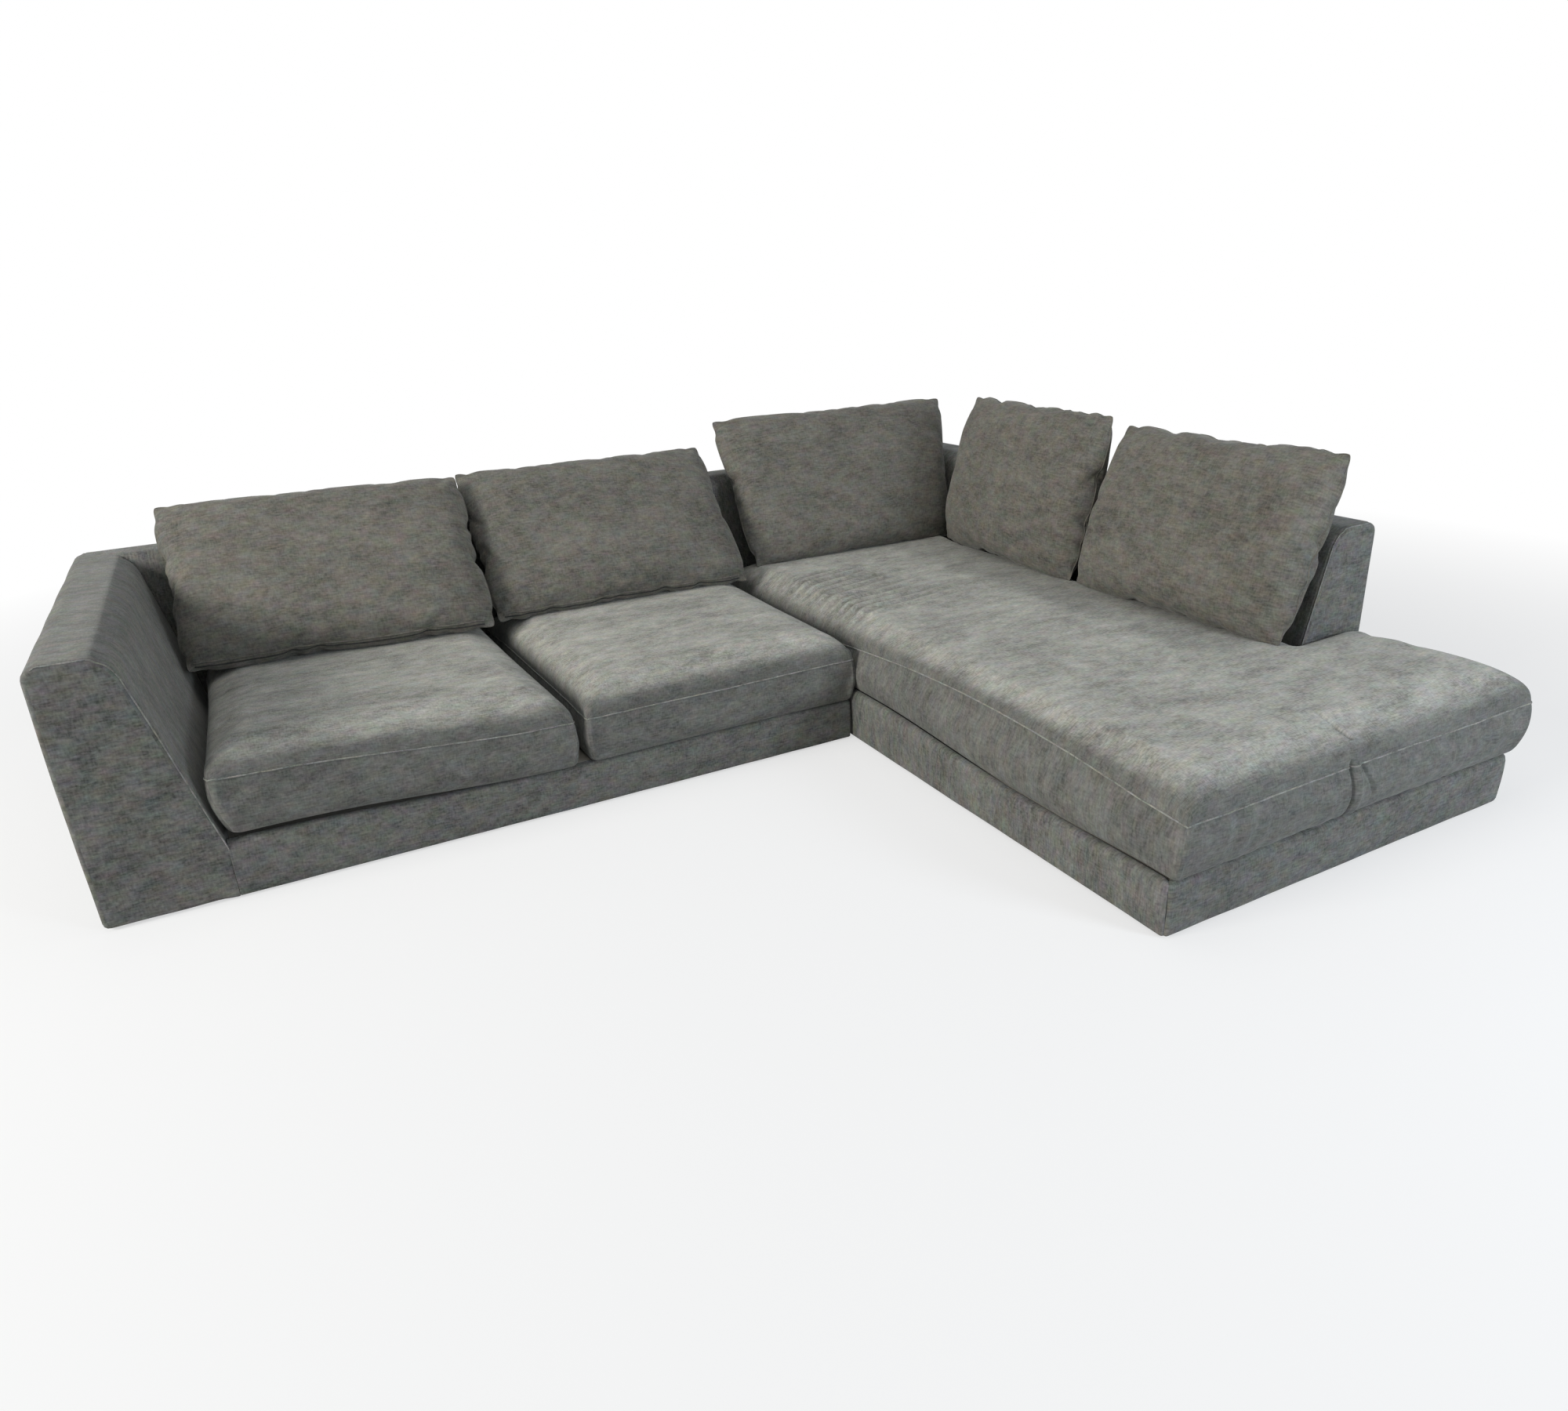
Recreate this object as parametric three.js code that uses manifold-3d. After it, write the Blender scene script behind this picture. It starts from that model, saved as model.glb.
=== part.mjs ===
// A corner sofa of two modules that hook together side by side: a two-seat module with one arm,
// and a chaise module with a back along its rear and a lower run of back along its outer side.
// Millimetres, +Z up. Seen from the front, +X runs to the chaise and +Y to the rear.
// Places are measured from the inner corner of the L, on the floor, until the last lines.
import * as THREE from "three";
import { mergeVertices } from "three/addons/utils/BufferGeometryUtils.js";
import Module from "manifold-3d";

const wasm = await Module();
wasm.setup();

// Driving dimensions
const seatModuleLength = 2015; // outer face of the arm to the line where the modules meet
const chaiseModuleWidth = 1220; // that line to the outer face of the side back
const moduleDepth = 1250; // front of the seat plinth to the outer face of the rear backs
const chaiseReach = 1260; // how far the chaise runs out past the seat front
const sideBackReach = 788; // how far the side back runs out past the seat front
const wallHeight = 645; // floor to the top of the arm and backs
const wallTopWidth = 165; // arm and backs, at their top
const wallFootWidth = 288; // arm and backs, at the deck
const deckHeight = 130; // floor to the deck that the seat cushions lie on
const moduleGap = 8; // between the two modules
const restGap = 0.3; // between two pieces that rest on or against each other
const overrun = 5; // how far a cutting shape runs past the face that it cuts

// Upholstered walls: foam and fabric over a timber frame
const wallPad = 22;
const wallTopPad = 30;
const wallOuterRounding = 30;
const wallInnerRounding = 50;
const roundingSegments = 5;

// Timber frame
const railThickness = 28;
const gussetThickness = 18;
const topRailThickness = 28;
const glideHeight = 8;
const glideRadius = 25;
const glideSides = 16;
const hemHeight = 5; // floor to the lower edge of the fabric
const dustClothThickness = 1;
const webbingThickness = 2.5;
const webbingWidth = 70;
const webbingGap = 200; // from one strap to the next
const deckPadThickness = 16;

// Seat cushions
const seatSeamHeight = 252; // floor to the seam along the top edge of the boxing
const seatCrown = 93; // top of the cushion above that seam
const chaiseSeamHeight = 264;
const chaiseCrown = 94;
const firstSeatLift = 50; // the first cushion's front corner rides up on the arm by this much
const seatOverhang = 14; // cushion seam past the front of the plinth
const chaiseSideOverhang = 32; // cushion seam past the outer side of the plinth
const cushionTuck = 16; // how far the cushion's lower edge lies inside its seam
const cushionCorner = 60;
const crownEdge = 18; // from the seam in to the first ring of the crown
const cushionDrawIn = 7;
const boxingBulge = 6;
const crownPower = 9; // the higher, the flatter the cushion's top and the squarer its edge
const crownRoot = 3;
const cushionGap = 12; // between the two seat cushions
const cushionClearance = 3; // to the arm and backs
const junctionOffset = 22; // the cushions meet this far to the chaise side of the modules' joint
const firstSeatWidth = 895;
const seatDivideDrift = -42; // the joint between the seat cushions drifts this far at the rear

// Back cushions: two on the seat module, one in the corner, two along the side back
const pillowThickness = 180;
const pillowDrawInShare = 0.035;
const pillowClearance = 6;
const leanHeight = 70; // the back's inner face counts as this much taller when a cushion leans on it
const firstPillowInset = 9; // the first back cushion is this much narrower than its seat cushion
const seatPillowHeight = 560;
const firstPillowTopGain = 3; // a cushion's width along the top, less its width along the foot
const firstPillowShift = -30; // a cushion's top lies this far to the right of its foot
const secondPillowTopGain = -16;
const secondPillowShift = -16;
const cornerPillowHeight = 575;
const cornerPillowInset = 65; // from the modules' joint offset to the foot's left end
const cornerPillowGap = 38; // from the foot's right end to the side back
const cornerPillowTopGain = 162;
const cornerPillowShift = 60;
const fourthPillowSetback = 454; // from the rear face to the cushion's far end
const fourthPillowHeight = 535;
const fourthPillowShift = -4;
const fifthPillowWidth = 803;
const fifthPillowHeight = 525;
const fifthPillowTopGain = -6;
const fifthPillowOverhang = 20; // its foot ends this far past the end of the side back

// Connector that holds the modules together
const bracketThickness = 2;
const bracketWidth = 60;
const bracketPlateHeight = 40;
const tongueLength = 36;
const tongueWidth = 36;
const slotClearance = 0.5;
const bracketSetback = 420; // from the seat front
const bracketHeight = 62; // floor to the step of the tongue

// Finishes
const upholstery = { color: 0x76756c, roughness: 0.92, metalness: 0 };
const timber = { color: 0xb08d5f, roughness: 0.7, metalness: 0 };
const plywood = { color: 0xc3a77a, roughness: 0.75, metalness: 0 };
const webbing = { color: 0x3a3732, roughness: 0.9, metalness: 0 };
const felt = { color: 0x9c978c, roughness: 0.95, metalness: 0 };
const dustCloth = { color: 0x1d1d1e, roughness: 0.95, metalness: 0 };
const plastic = { color: 0x202022, roughness: 0.5, metalness: 0 };
const steel = { color: 0xb4b6b8, roughness: 0.35, metalness: 1 };

const sofa = new THREE.Group();

function addPiece(name, geometry, finish) {
  const mesh = new THREE.Mesh(geometry, new THREE.MeshStandardMaterial(finish));
  mesh.name = name;
  sofa.add(mesh);
  return mesh;
}

function block(x, y, z) {
  const size = [x, y, z].map(([low, high]) => high - low);
  const middle = [x, y, z].map(([low, high]) => (low + high) / 2);
  return new THREE.BoxGeometry(...size).translate(...middle);
}

function solidOf(geometry) {
  const bare = new THREE.BufferGeometry();
  bare.setAttribute("position", geometry.getAttribute("position").clone());
  if (geometry.index) {
    bare.setIndex(geometry.index.clone());
  }
  const merged = mergeVertices(bare);
  const vertProperties = new Float32Array(merged.getAttribute("position").array);
  const triVerts = new Uint32Array(merged.index.array);
  return new wasm.Manifold(new wasm.Mesh({ numProp: 3, vertProperties, triVerts }));
}

function geometryOf(solid) {
  const mesh = solid.getMesh();
  const geometry = new THREE.BufferGeometry();
  geometry.setAttribute("position", new THREE.BufferAttribute(mesh.vertProperties, mesh.numProp));
  geometry.setIndex(new THREE.BufferAttribute(mesh.triVerts, 1));
  geometry.computeVertexNormals();
  return geometry;
}

// Walls: the arm and the backs share one section, upright outside and sloping inside

// Distance from a wall's outer face to its sloping inner face, at a height above the floor
function wallWidthAt(height) {
  const climb = (height - deckHeight) / (wallHeight - deckHeight);
  return wallFootWidth - (wallFootWidth - wallTopWidth) * climb;
}
const wallSlope = (wallFootWidth - wallTopWidth) / (wallHeight - deckHeight);
const wallPadRun = wallPad * Math.hypot(1, wallSlope); // the pad, measured level across the slope

function wallOutline(spread = 0) {
  const outerRounding = Math.min(wallOuterRounding, wallTopWidth / 2 - overrun);
  const innerRounding = Math.min(wallInnerRounding, wallTopWidth / 2 - overrun);
  const top = wallHeight + spread;
  const inner = wallWidthAt(wallHeight) + spread;
  const foot = wallFootWidth + spread;
  const outline = new THREE.Shape();
  outline.moveTo(-spread, hemHeight);
  outline.lineTo(foot, hemHeight);
  outline.lineTo(foot, deckHeight);
  outline.lineTo(inner + innerRounding * wallSlope, top - innerRounding);
  outline.quadraticCurveTo(inner, top, inner - innerRounding, top);
  outline.lineTo(outerRounding - spread, top);
  outline.quadraticCurveTo(-spread, top, -spread, top - outerRounding);
  return outline;
}

function wallCavityOutline() {
  const top = wallHeight - wallTopPad;
  const outline = new THREE.Shape();
  outline.moveTo(wallPad, hemHeight - overrun);
  outline.lineTo(wallFootWidth + overrun, hemHeight - overrun);
  outline.lineTo(wallFootWidth + overrun, deckHeight);
  outline.lineTo(wallFootWidth - wallPadRun, deckHeight);
  outline.lineTo(wallWidthAt(top) - wallPadRun, top);
  outline.lineTo(wallPad, top);
  return outline;
}

const railFoot = glideHeight + dustClothThickness + 2 * restGap;
const railTop = deckHeight - deckPadThickness - webbingThickness - 2 * restGap;
const topRailUnderside = wallHeight - wallTopPad - restGap - topRailThickness;

function gussetOutline() {
  const foot = railTop + restGap;
  const top = topRailUnderside - restGap;
  const inset = wallPad + restGap;
  const toe = wallFootWidth - wallPadRun - restGap;
  const outline = new THREE.Shape();
  outline.moveTo(inset, foot);
  outline.lineTo(toe, foot);
  outline.lineTo(toe, deckHeight);
  outline.lineTo(wallWidthAt(top) - wallPadRun - restGap, top);
  outline.lineTo(inset, top);
  return outline;
}

// Each run of wall starts at a place on its outer face and goes one way along it.
// The arm runs forwards, the rear backs run to the left and the side back runs to the rear.
const armTurn = 0;
const rearTurn = -Math.PI / 2;
const sideTurn = Math.PI;

function extrudeWall(outline, from, length, turn, startX, startY) {
  const settings = { depth: length, bevelEnabled: false, curveSegments: roundingSegments };
  return new THREE.ExtrudeGeometry(outline, settings)
    .translate(0, 0, from)
    .rotateX(Math.PI / 2)
    .rotateZ(turn)
    .translate(startX, startY, 0);
}

const armLine = -seatModuleLength;
const seatJoint = -moduleGap / 2;
const chaiseJoint = moduleGap / 2;
const rearLine = moduleDepth;
const sideLine = chaiseModuleWidth;
const sideBackEnd = -sideBackReach;
const sideBackLength = moduleDepth + sideBackReach;
const seatBackLength = seatJoint - armLine;
const chaiseBackLength = sideLine - chaiseJoint;
const dieIn = wallTopWidth / 2; // a rear back's end runs this far in from the face of the wall it dies into
const cavityFar = wallPad + overrun;

const armSolid = solidOf(extrudeWall(wallOutline(), 0, moduleDepth, armTurn, armLine, rearLine));
const sideBackSolid = solidOf(extrudeWall(wallOutline(), 0, sideBackLength, sideTurn, sideLine, sideBackEnd));
const armKeepOut = solidOf(
  extrudeWall(wallOutline(restGap), -overrun, moduleDepth + 2 * overrun, armTurn, armLine, rearLine),
);
const sideKeepOut = solidOf(
  extrudeWall(wallOutline(restGap), -overrun, sideBackLength + 2 * overrun, sideTurn, sideLine, sideBackEnd),
);

function wallCavity(from, length, turn, startX, startY) {
  return solidOf(extrudeWall(wallCavityOutline(), from, length, turn, startX, startY));
}

// The arm's cover is closed at the front and the rear, and open below.
const armCavity = wallCavity(wallPad, moduleDepth - 2 * wallPad, armTurn, armLine, rearLine);
addPiece("arm_cover", geometryOf(armSolid.subtract(armCavity)), upholstery);

// The side back's end wall stands on the deck, and only its outer wall goes down to the floor.
const sideCavity = wallCavity(wallPad, sideBackLength - 2 * wallPad, sideTurn, sideLine, sideBackEnd);
const underEndWall = solidOf(
  block(
    [sideLine - wallFootWidth - overrun, sideLine - wallPad],
    [sideBackEnd - overrun, sideBackEnd + cavityFar],
    [hemHeight - overrun, deckHeight],
  ),
);
const sideBackCover = sideBackSolid.subtract(sideCavity).subtract(underEndWall);
addPiece("side_back_cover", geometryOf(sideBackCover), upholstery);

// The rear backs are closed at the modules' joint, and die into the arm and the side back.
const seatBackRun = seatBackLength - dieIn;
const seatBackSolid = solidOf(extrudeWall(wallOutline(), 0, seatBackRun, rearTurn, seatJoint, rearLine));
const seatBackCavity = wallCavity(wallPad, seatBackLength, rearTurn, seatJoint, rearLine);
const seatBackCover = seatBackSolid.subtract(armKeepOut).subtract(seatBackCavity);
addPiece("seat_back_cover", geometryOf(seatBackCover), upholstery);

const chaiseBackSolid = solidOf(
  extrudeWall(wallOutline(), dieIn, chaiseBackLength - dieIn, rearTurn, sideLine, rearLine),
);
const chaiseCavityRun = chaiseBackLength - cavityFar + 2 * overrun;
const chaiseBackCavity = wallCavity(-overrun, chaiseCavityRun, rearTurn, sideLine, rearLine);
const chaiseBackCover = chaiseBackSolid.subtract(sideKeepOut).subtract(chaiseBackCavity);
addPiece("chaise_back_cover", geometryOf(chaiseBackCover), upholstery);

// Plywood gussets stand on the rails inside each wall, and carry its top rail.
function addGusset(name, from, turn, startX, startY) {
  const geometry = extrudeWall(gussetOutline(), from, gussetThickness, turn, startX, startY);
  addPiece(name, geometry, plywood);
}

function addTopRail(name, from, length, turn, startX, startY) {
  const inner = wallWidthAt(topRailUnderside + topRailThickness) - wallPadRun - restGap;
  const outline = new THREE.Shape();
  outline.moveTo(wallPad + restGap, topRailUnderside);
  outline.lineTo(inner, topRailUnderside);
  outline.lineTo(inner, topRailUnderside + topRailThickness);
  outline.lineTo(wallPad + restGap, topRailUnderside + topRailThickness);
  addPiece(name, extrudeWall(outline, from, length, turn, startX, startY), timber);
}

const endInset = wallPad + restGap;
const lastGusset = endInset + gussetThickness;
addGusset("arm_rear_gusset", endInset, armTurn, armLine, rearLine);
addGusset("arm_front_gusset", moduleDepth - lastGusset, armTurn, armLine, rearLine);
addTopRail("arm_top_rail", endInset, moduleDepth - 2 * endInset, armTurn, armLine, rearLine);

const seatBackGussetRun = seatBackLength - wallFootWidth - restGap - gussetThickness - endInset;
addGusset("seat_back_right_gusset", endInset, rearTurn, seatJoint, rearLine);
addGusset("seat_back_middle_gusset", endInset + seatBackGussetRun / 2, rearTurn, seatJoint, rearLine);
addGusset("seat_back_left_gusset", endInset + seatBackGussetRun, rearTurn, seatJoint, rearLine);
const seatTopRailLength = seatBackLength - endInset - wallWidthAt(topRailUnderside) - restGap;
addTopRail("seat_back_top_rail", endInset, seatTopRailLength, rearTurn, seatJoint, rearLine);

const sideGussetRun = sideBackLength - lastGusset - endInset;
addGusset("side_back_end_gusset", endInset, sideTurn, sideLine, sideBackEnd);
addGusset("side_back_middle_gusset", endInset + sideGussetRun / 2, sideTurn, sideLine, sideBackEnd);
addGusset("side_back_rear_gusset", endInset + sideGussetRun, sideTurn, sideLine, sideBackEnd);
addTopRail("side_back_top_rail", endInset, sideBackLength - 2 * endInset, sideTurn, sideLine, sideBackEnd);

const chaiseRailStart = wallWidthAt(topRailUnderside) + restGap;
addGusset("chaise_back_right_gusset", wallFootWidth + restGap, rearTurn, sideLine, rearLine);
addGusset("chaise_back_left_gusset", chaiseBackLength - lastGusset, rearTurn, sideLine, rearLine);
const chaiseTopRailLength = chaiseBackLength - endInset - chaiseRailStart;
addTopRail("chaise_back_top_rail", chaiseRailStart, chaiseTopRailLength, rearTurn, sideLine, rearLine);

// Base frames: timber rails on edge, under the walls and round the deck
const railSpan = [railFoot, railTop];

function addRail(name, x, y) {
  addPiece(name, block(x, y, railSpan), timber);
}

function across(middle) {
  return [middle - railThickness / 2, middle + railThickness / 2];
}

const skinInset = wallPad + restGap;
const railInset = skinInset + railThickness + restGap;
const railOn = (low) => [low, low + railThickness];
const rearRailSpan = railOn(rearLine - skinInset - railThickness);
const rearRailFace = rearLine - railInset;
const backFootRail = across(rearLine - wallFootWidth);
const armFootRail = across(armLine + wallFootWidth);
const sideFootRail = across(sideLine - wallFootWidth);
const seatFrameSpan = [armLine + skinInset, seatJoint - skinInset];
const chaiseFrameSpan = [chaiseJoint + skinInset, sideLine - skinInset];
const chaiseEnd = -chaiseReach;

addRail("seat_front_rail", seatFrameSpan, railOn(skinInset));
addRail("seat_rear_rail", seatFrameSpan, rearRailSpan);
addRail("arm_outer_rail", railOn(armLine + skinInset), [railInset, rearRailFace]);
addRail("arm_foot_rail", armFootRail, [railInset, rearRailFace]);
addRail("seat_joint_rail", railOn(seatJoint - skinInset - railThickness), [railInset, rearRailFace]);
addRail("seat_back_foot_rail", [armFootRail[1] + restGap, seatJoint - railInset], backFootRail);

const chaiseRunSpan = [chaiseEnd + railInset, rearRailFace];
addRail("chaise_end_rail", chaiseFrameSpan, railOn(chaiseEnd + skinInset));
addRail("chaise_rear_rail", chaiseFrameSpan, rearRailSpan);
addRail("chaise_joint_rail", railOn(chaiseJoint + skinInset), chaiseRunSpan);
addRail("chaise_outer_rail", railOn(sideLine - skinInset - railThickness), chaiseRunSpan);
addRail("side_foot_rail", sideFootRail, chaiseRunSpan);
addRail("chaise_back_foot_rail", [chaiseJoint + railInset, sideFootRail[0] - restGap], backFootRail);

// Plinth skins: padded fabric panels over the outer rails, from the hem up to the deck
const skinSpan = [hemHeight, deckHeight];
const backFoot = rearLine - wallFootWidth - restGap;
const armFoot = armLine + wallFootWidth + restGap;

addPiece("seat_front_skin", block([armFoot, seatJoint], [0, wallPad], skinSpan), upholstery);
const seatSkinX = [seatJoint - wallPad, seatJoint];
addPiece("seat_joint_skin", block(seatSkinX, [skinInset, backFoot], skinSpan), upholstery);
const chaiseSkinX = [chaiseJoint, chaiseJoint + wallPad];
addPiece("chaise_joint_skin", block(chaiseSkinX, [chaiseEnd, backFoot], skinSpan), upholstery);
const endSkinX = [chaiseJoint + skinInset, sideLine];
addPiece("chaise_end_skin", block(endSkinX, [chaiseEnd, chaiseEnd + wallPad], skinSpan), upholstery);
const outerSkinY = [chaiseEnd + skinInset, sideBackEnd - restGap];
addPiece("chaise_outer_skin", block([sideLine - wallPad, sideLine], outerSkinY, skinSpan), upholstery);

// Webbing: elastic straps, woven and stapled to the rails, drawn as one flat net
function webbingNet(x, y) {
  const pitch = webbingWidth + webbingGap;
  const cells = [x, y].map(([low, high]) => Math.max(1, Math.round((high - low) / pitch)));
  const pitchX = (x[1] - x[0] - webbingWidth) / cells[0];
  const pitchY = (y[1] - y[0] - webbingWidth) / cells[1];
  const foot = railTop + restGap;
  let net = solidOf(block(x, y, [foot, foot + webbingThickness]));
  for (let column = 0; column < cells[0]; column += 1) {
    for (let row = 0; row < cells[1]; row += 1) {
      const left = x[0] + webbingWidth + column * pitchX;
      const front = y[0] + webbingWidth + row * pitchY;
      const holeX = [left, left + pitchX - webbingWidth];
      const holeY = [front, front + pitchY - webbingWidth];
      net = net.subtract(solidOf(block(holeX, holeY, [foot - overrun, foot + webbingThickness + overrun])));
    }
  }
  return geometryOf(net);
}

const middleOf = (span) => (span[0] + span[1]) / 2;
const seatNetX = [middleOf(armFootRail) + restGap, seatJoint - skinInset];
const chaiseNetX = [chaiseJoint + skinInset, middleOf(sideFootRail) - restGap];
addPiece("seat_webbing", webbingNet(seatNetX, [skinInset, middleOf(backFootRail)]), webbing);
addPiece("chaise_webbing", webbingNet(chaiseNetX, [chaiseEnd + skinInset, middleOf(backFootRail)]), webbing);

// Deck pads: thick felt over the webbing, level with the top of the skins and under the walls' feet
const deckPadFoot = deckHeight - deckPadThickness;
const deckPadTop = deckHeight - restGap;
const deckRear = rearLine - wallFootWidth + wallPadRun;
const deckArmSide = armLine + wallFootWidth - wallPadRun;
const deckOuter = sideLine - wallFootWidth + wallPadRun;
const seatPad = block([deckArmSide, seatJoint - skinInset], [skinInset, deckRear], [deckPadFoot, deckPadTop]);
addPiece("seat_deck_pad", seatPad, felt);

const chaisePadOutline = new THREE.Shape();
chaisePadOutline.moveTo(chaiseJoint + skinInset, chaiseEnd + skinInset);
chaisePadOutline.lineTo(sideLine - skinInset, chaiseEnd + skinInset);
chaisePadOutline.lineTo(sideLine - skinInset, sideBackEnd + wallPad);
chaisePadOutline.lineTo(deckOuter, sideBackEnd + wallPad);
chaisePadOutline.lineTo(deckOuter, deckRear);
chaisePadOutline.lineTo(chaiseJoint + skinInset, deckRear);
const chaisePadSettings = { depth: deckPadTop - deckPadFoot, bevelEnabled: false };
const chaisePad = new THREE.ExtrudeGeometry(chaisePadOutline, chaisePadSettings).translate(0, 0, deckPadFoot);
addPiece("chaise_deck_pad", chaisePad, felt);

// Dust cloths, stapled under the rails, and the glides that are nailed through them
const dustSpan = [glideHeight + restGap, glideHeight + restGap + dustClothThickness];
const dustDepth = [skinInset, rearLine - skinInset];
addPiece("seat_dust_cloth", block(seatFrameSpan, dustDepth, dustSpan), dustCloth);
const chaiseDustDepth = [chaiseEnd + skinInset, dustDepth[1]];
addPiece("chaise_dust_cloth", block(chaiseFrameSpan, chaiseDustDepth, dustSpan), dustCloth);

function addGlide(name, x, y) {
  const disc = new THREE.CylinderGeometry(glideRadius, glideRadius, glideHeight, glideSides);
  addPiece(name, disc.rotateX(Math.PI / 2).translate(x, y, glideHeight / 2), plastic);
}

const glideInset = skinInset + glideRadius;
const rearGlide = rearLine - glideInset;
const glideRows = [
  ["seat", [armLine + glideInset, seatJoint - glideInset], [glideInset, rearGlide]],
  ["chaise", [chaiseJoint + glideInset, sideLine - glideInset], [chaiseEnd + glideInset, rearGlide]],
];
for (const [moduleName, sides, ends] of glideRows) {
  addGlide(`${moduleName}_glide_front_left`, sides[0], ends[0]);
  addGlide(`${moduleName}_glide_front_right`, sides[1], ends[0]);
  addGlide(`${moduleName}_glide_rear_left`, sides[0], ends[1]);
  addGlide(`${moduleName}_glide_rear_right`, sides[1], ends[1]);
}

// Connector: a stepped tongue on the seat module drops into a pocket on the chaise module
const pocketBack = chaiseJoint - restGap;
const slotBack = pocketBack - bracketThickness;
const slotFront = slotBack - bracketThickness - 2 * slotClearance;
const tongueBack = slotBack - slotClearance;
const tongueFront = tongueBack - bracketThickness;
const plateBack = seatJoint + restGap;
const tonguePlate = new THREE.Shape();
tonguePlate.moveTo(plateBack, bracketHeight);
tonguePlate.lineTo(tongueFront, bracketHeight);
tonguePlate.lineTo(tongueFront, bracketHeight - tongueLength);
tonguePlate.lineTo(tongueBack, bracketHeight - tongueLength);
tonguePlate.lineTo(tongueBack, bracketHeight + bracketThickness);
tonguePlate.lineTo(plateBack + bracketThickness, bracketHeight + bracketThickness);
tonguePlate.lineTo(plateBack + bracketThickness, bracketHeight + bracketPlateHeight);
tonguePlate.lineTo(plateBack, bracketHeight + bracketPlateHeight);
const tongue = new THREE.ExtrudeGeometry(tonguePlate, { depth: tongueWidth, bevelEnabled: false })
  .rotateX(Math.PI / 2)
  .translate(0, bracketSetback + tongueWidth / 2, 0);
addPiece("connector_tongue", tongue, steel);

const pocketHalf = bracketWidth / 2;
const slotHalf = tongueWidth / 2 + slotClearance;
const pocketSection = new THREE.Shape();
pocketSection.moveTo(slotFront - bracketThickness, -pocketHalf);
pocketSection.lineTo(pocketBack, -pocketHalf);
pocketSection.lineTo(pocketBack, pocketHalf);
pocketSection.lineTo(slotFront - bracketThickness, pocketHalf);
const slot = new THREE.Path();
slot.moveTo(slotFront, -slotHalf);
slot.lineTo(slotFront, slotHalf);
slot.lineTo(slotBack, slotHalf);
slot.lineTo(slotBack, -slotHalf);
pocketSection.holes.push(slot);
const pocketDepth = tongueLength - slotClearance;
const pocket = new THREE.ExtrudeGeometry(pocketSection, { depth: pocketDepth, bevelEnabled: false })
  .translate(0, bracketSetback, bracketHeight - tongueLength);
addPiece("connector_pocket", pocket, steel);

// Seat cushions: crowned top, boxing that draws in between rounded corners, flat underside

// Places of the grid lines from one side to the other; the second and last but one are a radius in
function gridLines(low, high, count, radius) {
  const lines = [low];
  for (let step = 0; step <= count; step += 1) {
    lines.push(low + radius + ((high - low - 2 * radius) * step) / count);
  }
  lines.push(high);
  return lines;
}

const cornerShare = 1 - Math.SQRT1_2; // how far a rounded corner lies inside the square one
const crownShareAt = (t) => Math.max(0, 1 - Math.abs(t) ** crownPower) ** (1 / crownRoot);

// Plan of one level of the cushion: rounded at the corners and drawn in along each side
function planGrid(x, y, counts, radius = cushionCorner) {
  const columns = gridLines(x[0], x[1], counts[0], radius);
  const rows = gridLines(y[0], y[1], counts[1], radius);
  const reach = [x, y].map(([low, high]) => (high - low) / 2 - radius);
  const drawAt = (place, span, half) => cushionDrawIn * (1 - ((place - middleOf(span)) / half) ** 2);
  const sideOf = (index, lines) => (index === 0 ? 1 : 0) - (index === lines.length - 1 ? 1 : 0);
  return rows.map((rowPlace, row) =>
    columns.map((columnPlace, column) => {
      const inX = sideOf(column, columns);
      const inY = sideOf(row, rows);
      const corner = inX !== 0 && inY !== 0;
      const moveX = corner ? cornerShare * radius : drawAt(rowPlace, y, reach[1]);
      const moveY = corner ? cornerShare * radius : drawAt(columnPlace, x, reach[0]);
      return [columnPlace + inX * moveX, rowPlace + inY * moveY];
    }),
  );
}

function rimOf(grid) {
  const lastRow = grid.length - 1;
  const front = grid[0];
  const right = grid.slice(1).map((row) => row[row.length - 1]);
  const rear = grid[lastRow].slice(0, -1).reverse();
  const left = grid.slice(1, lastRow).map((row) => row[0]).reverse();
  return [...front, ...right, ...rear, ...left];
}

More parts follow.
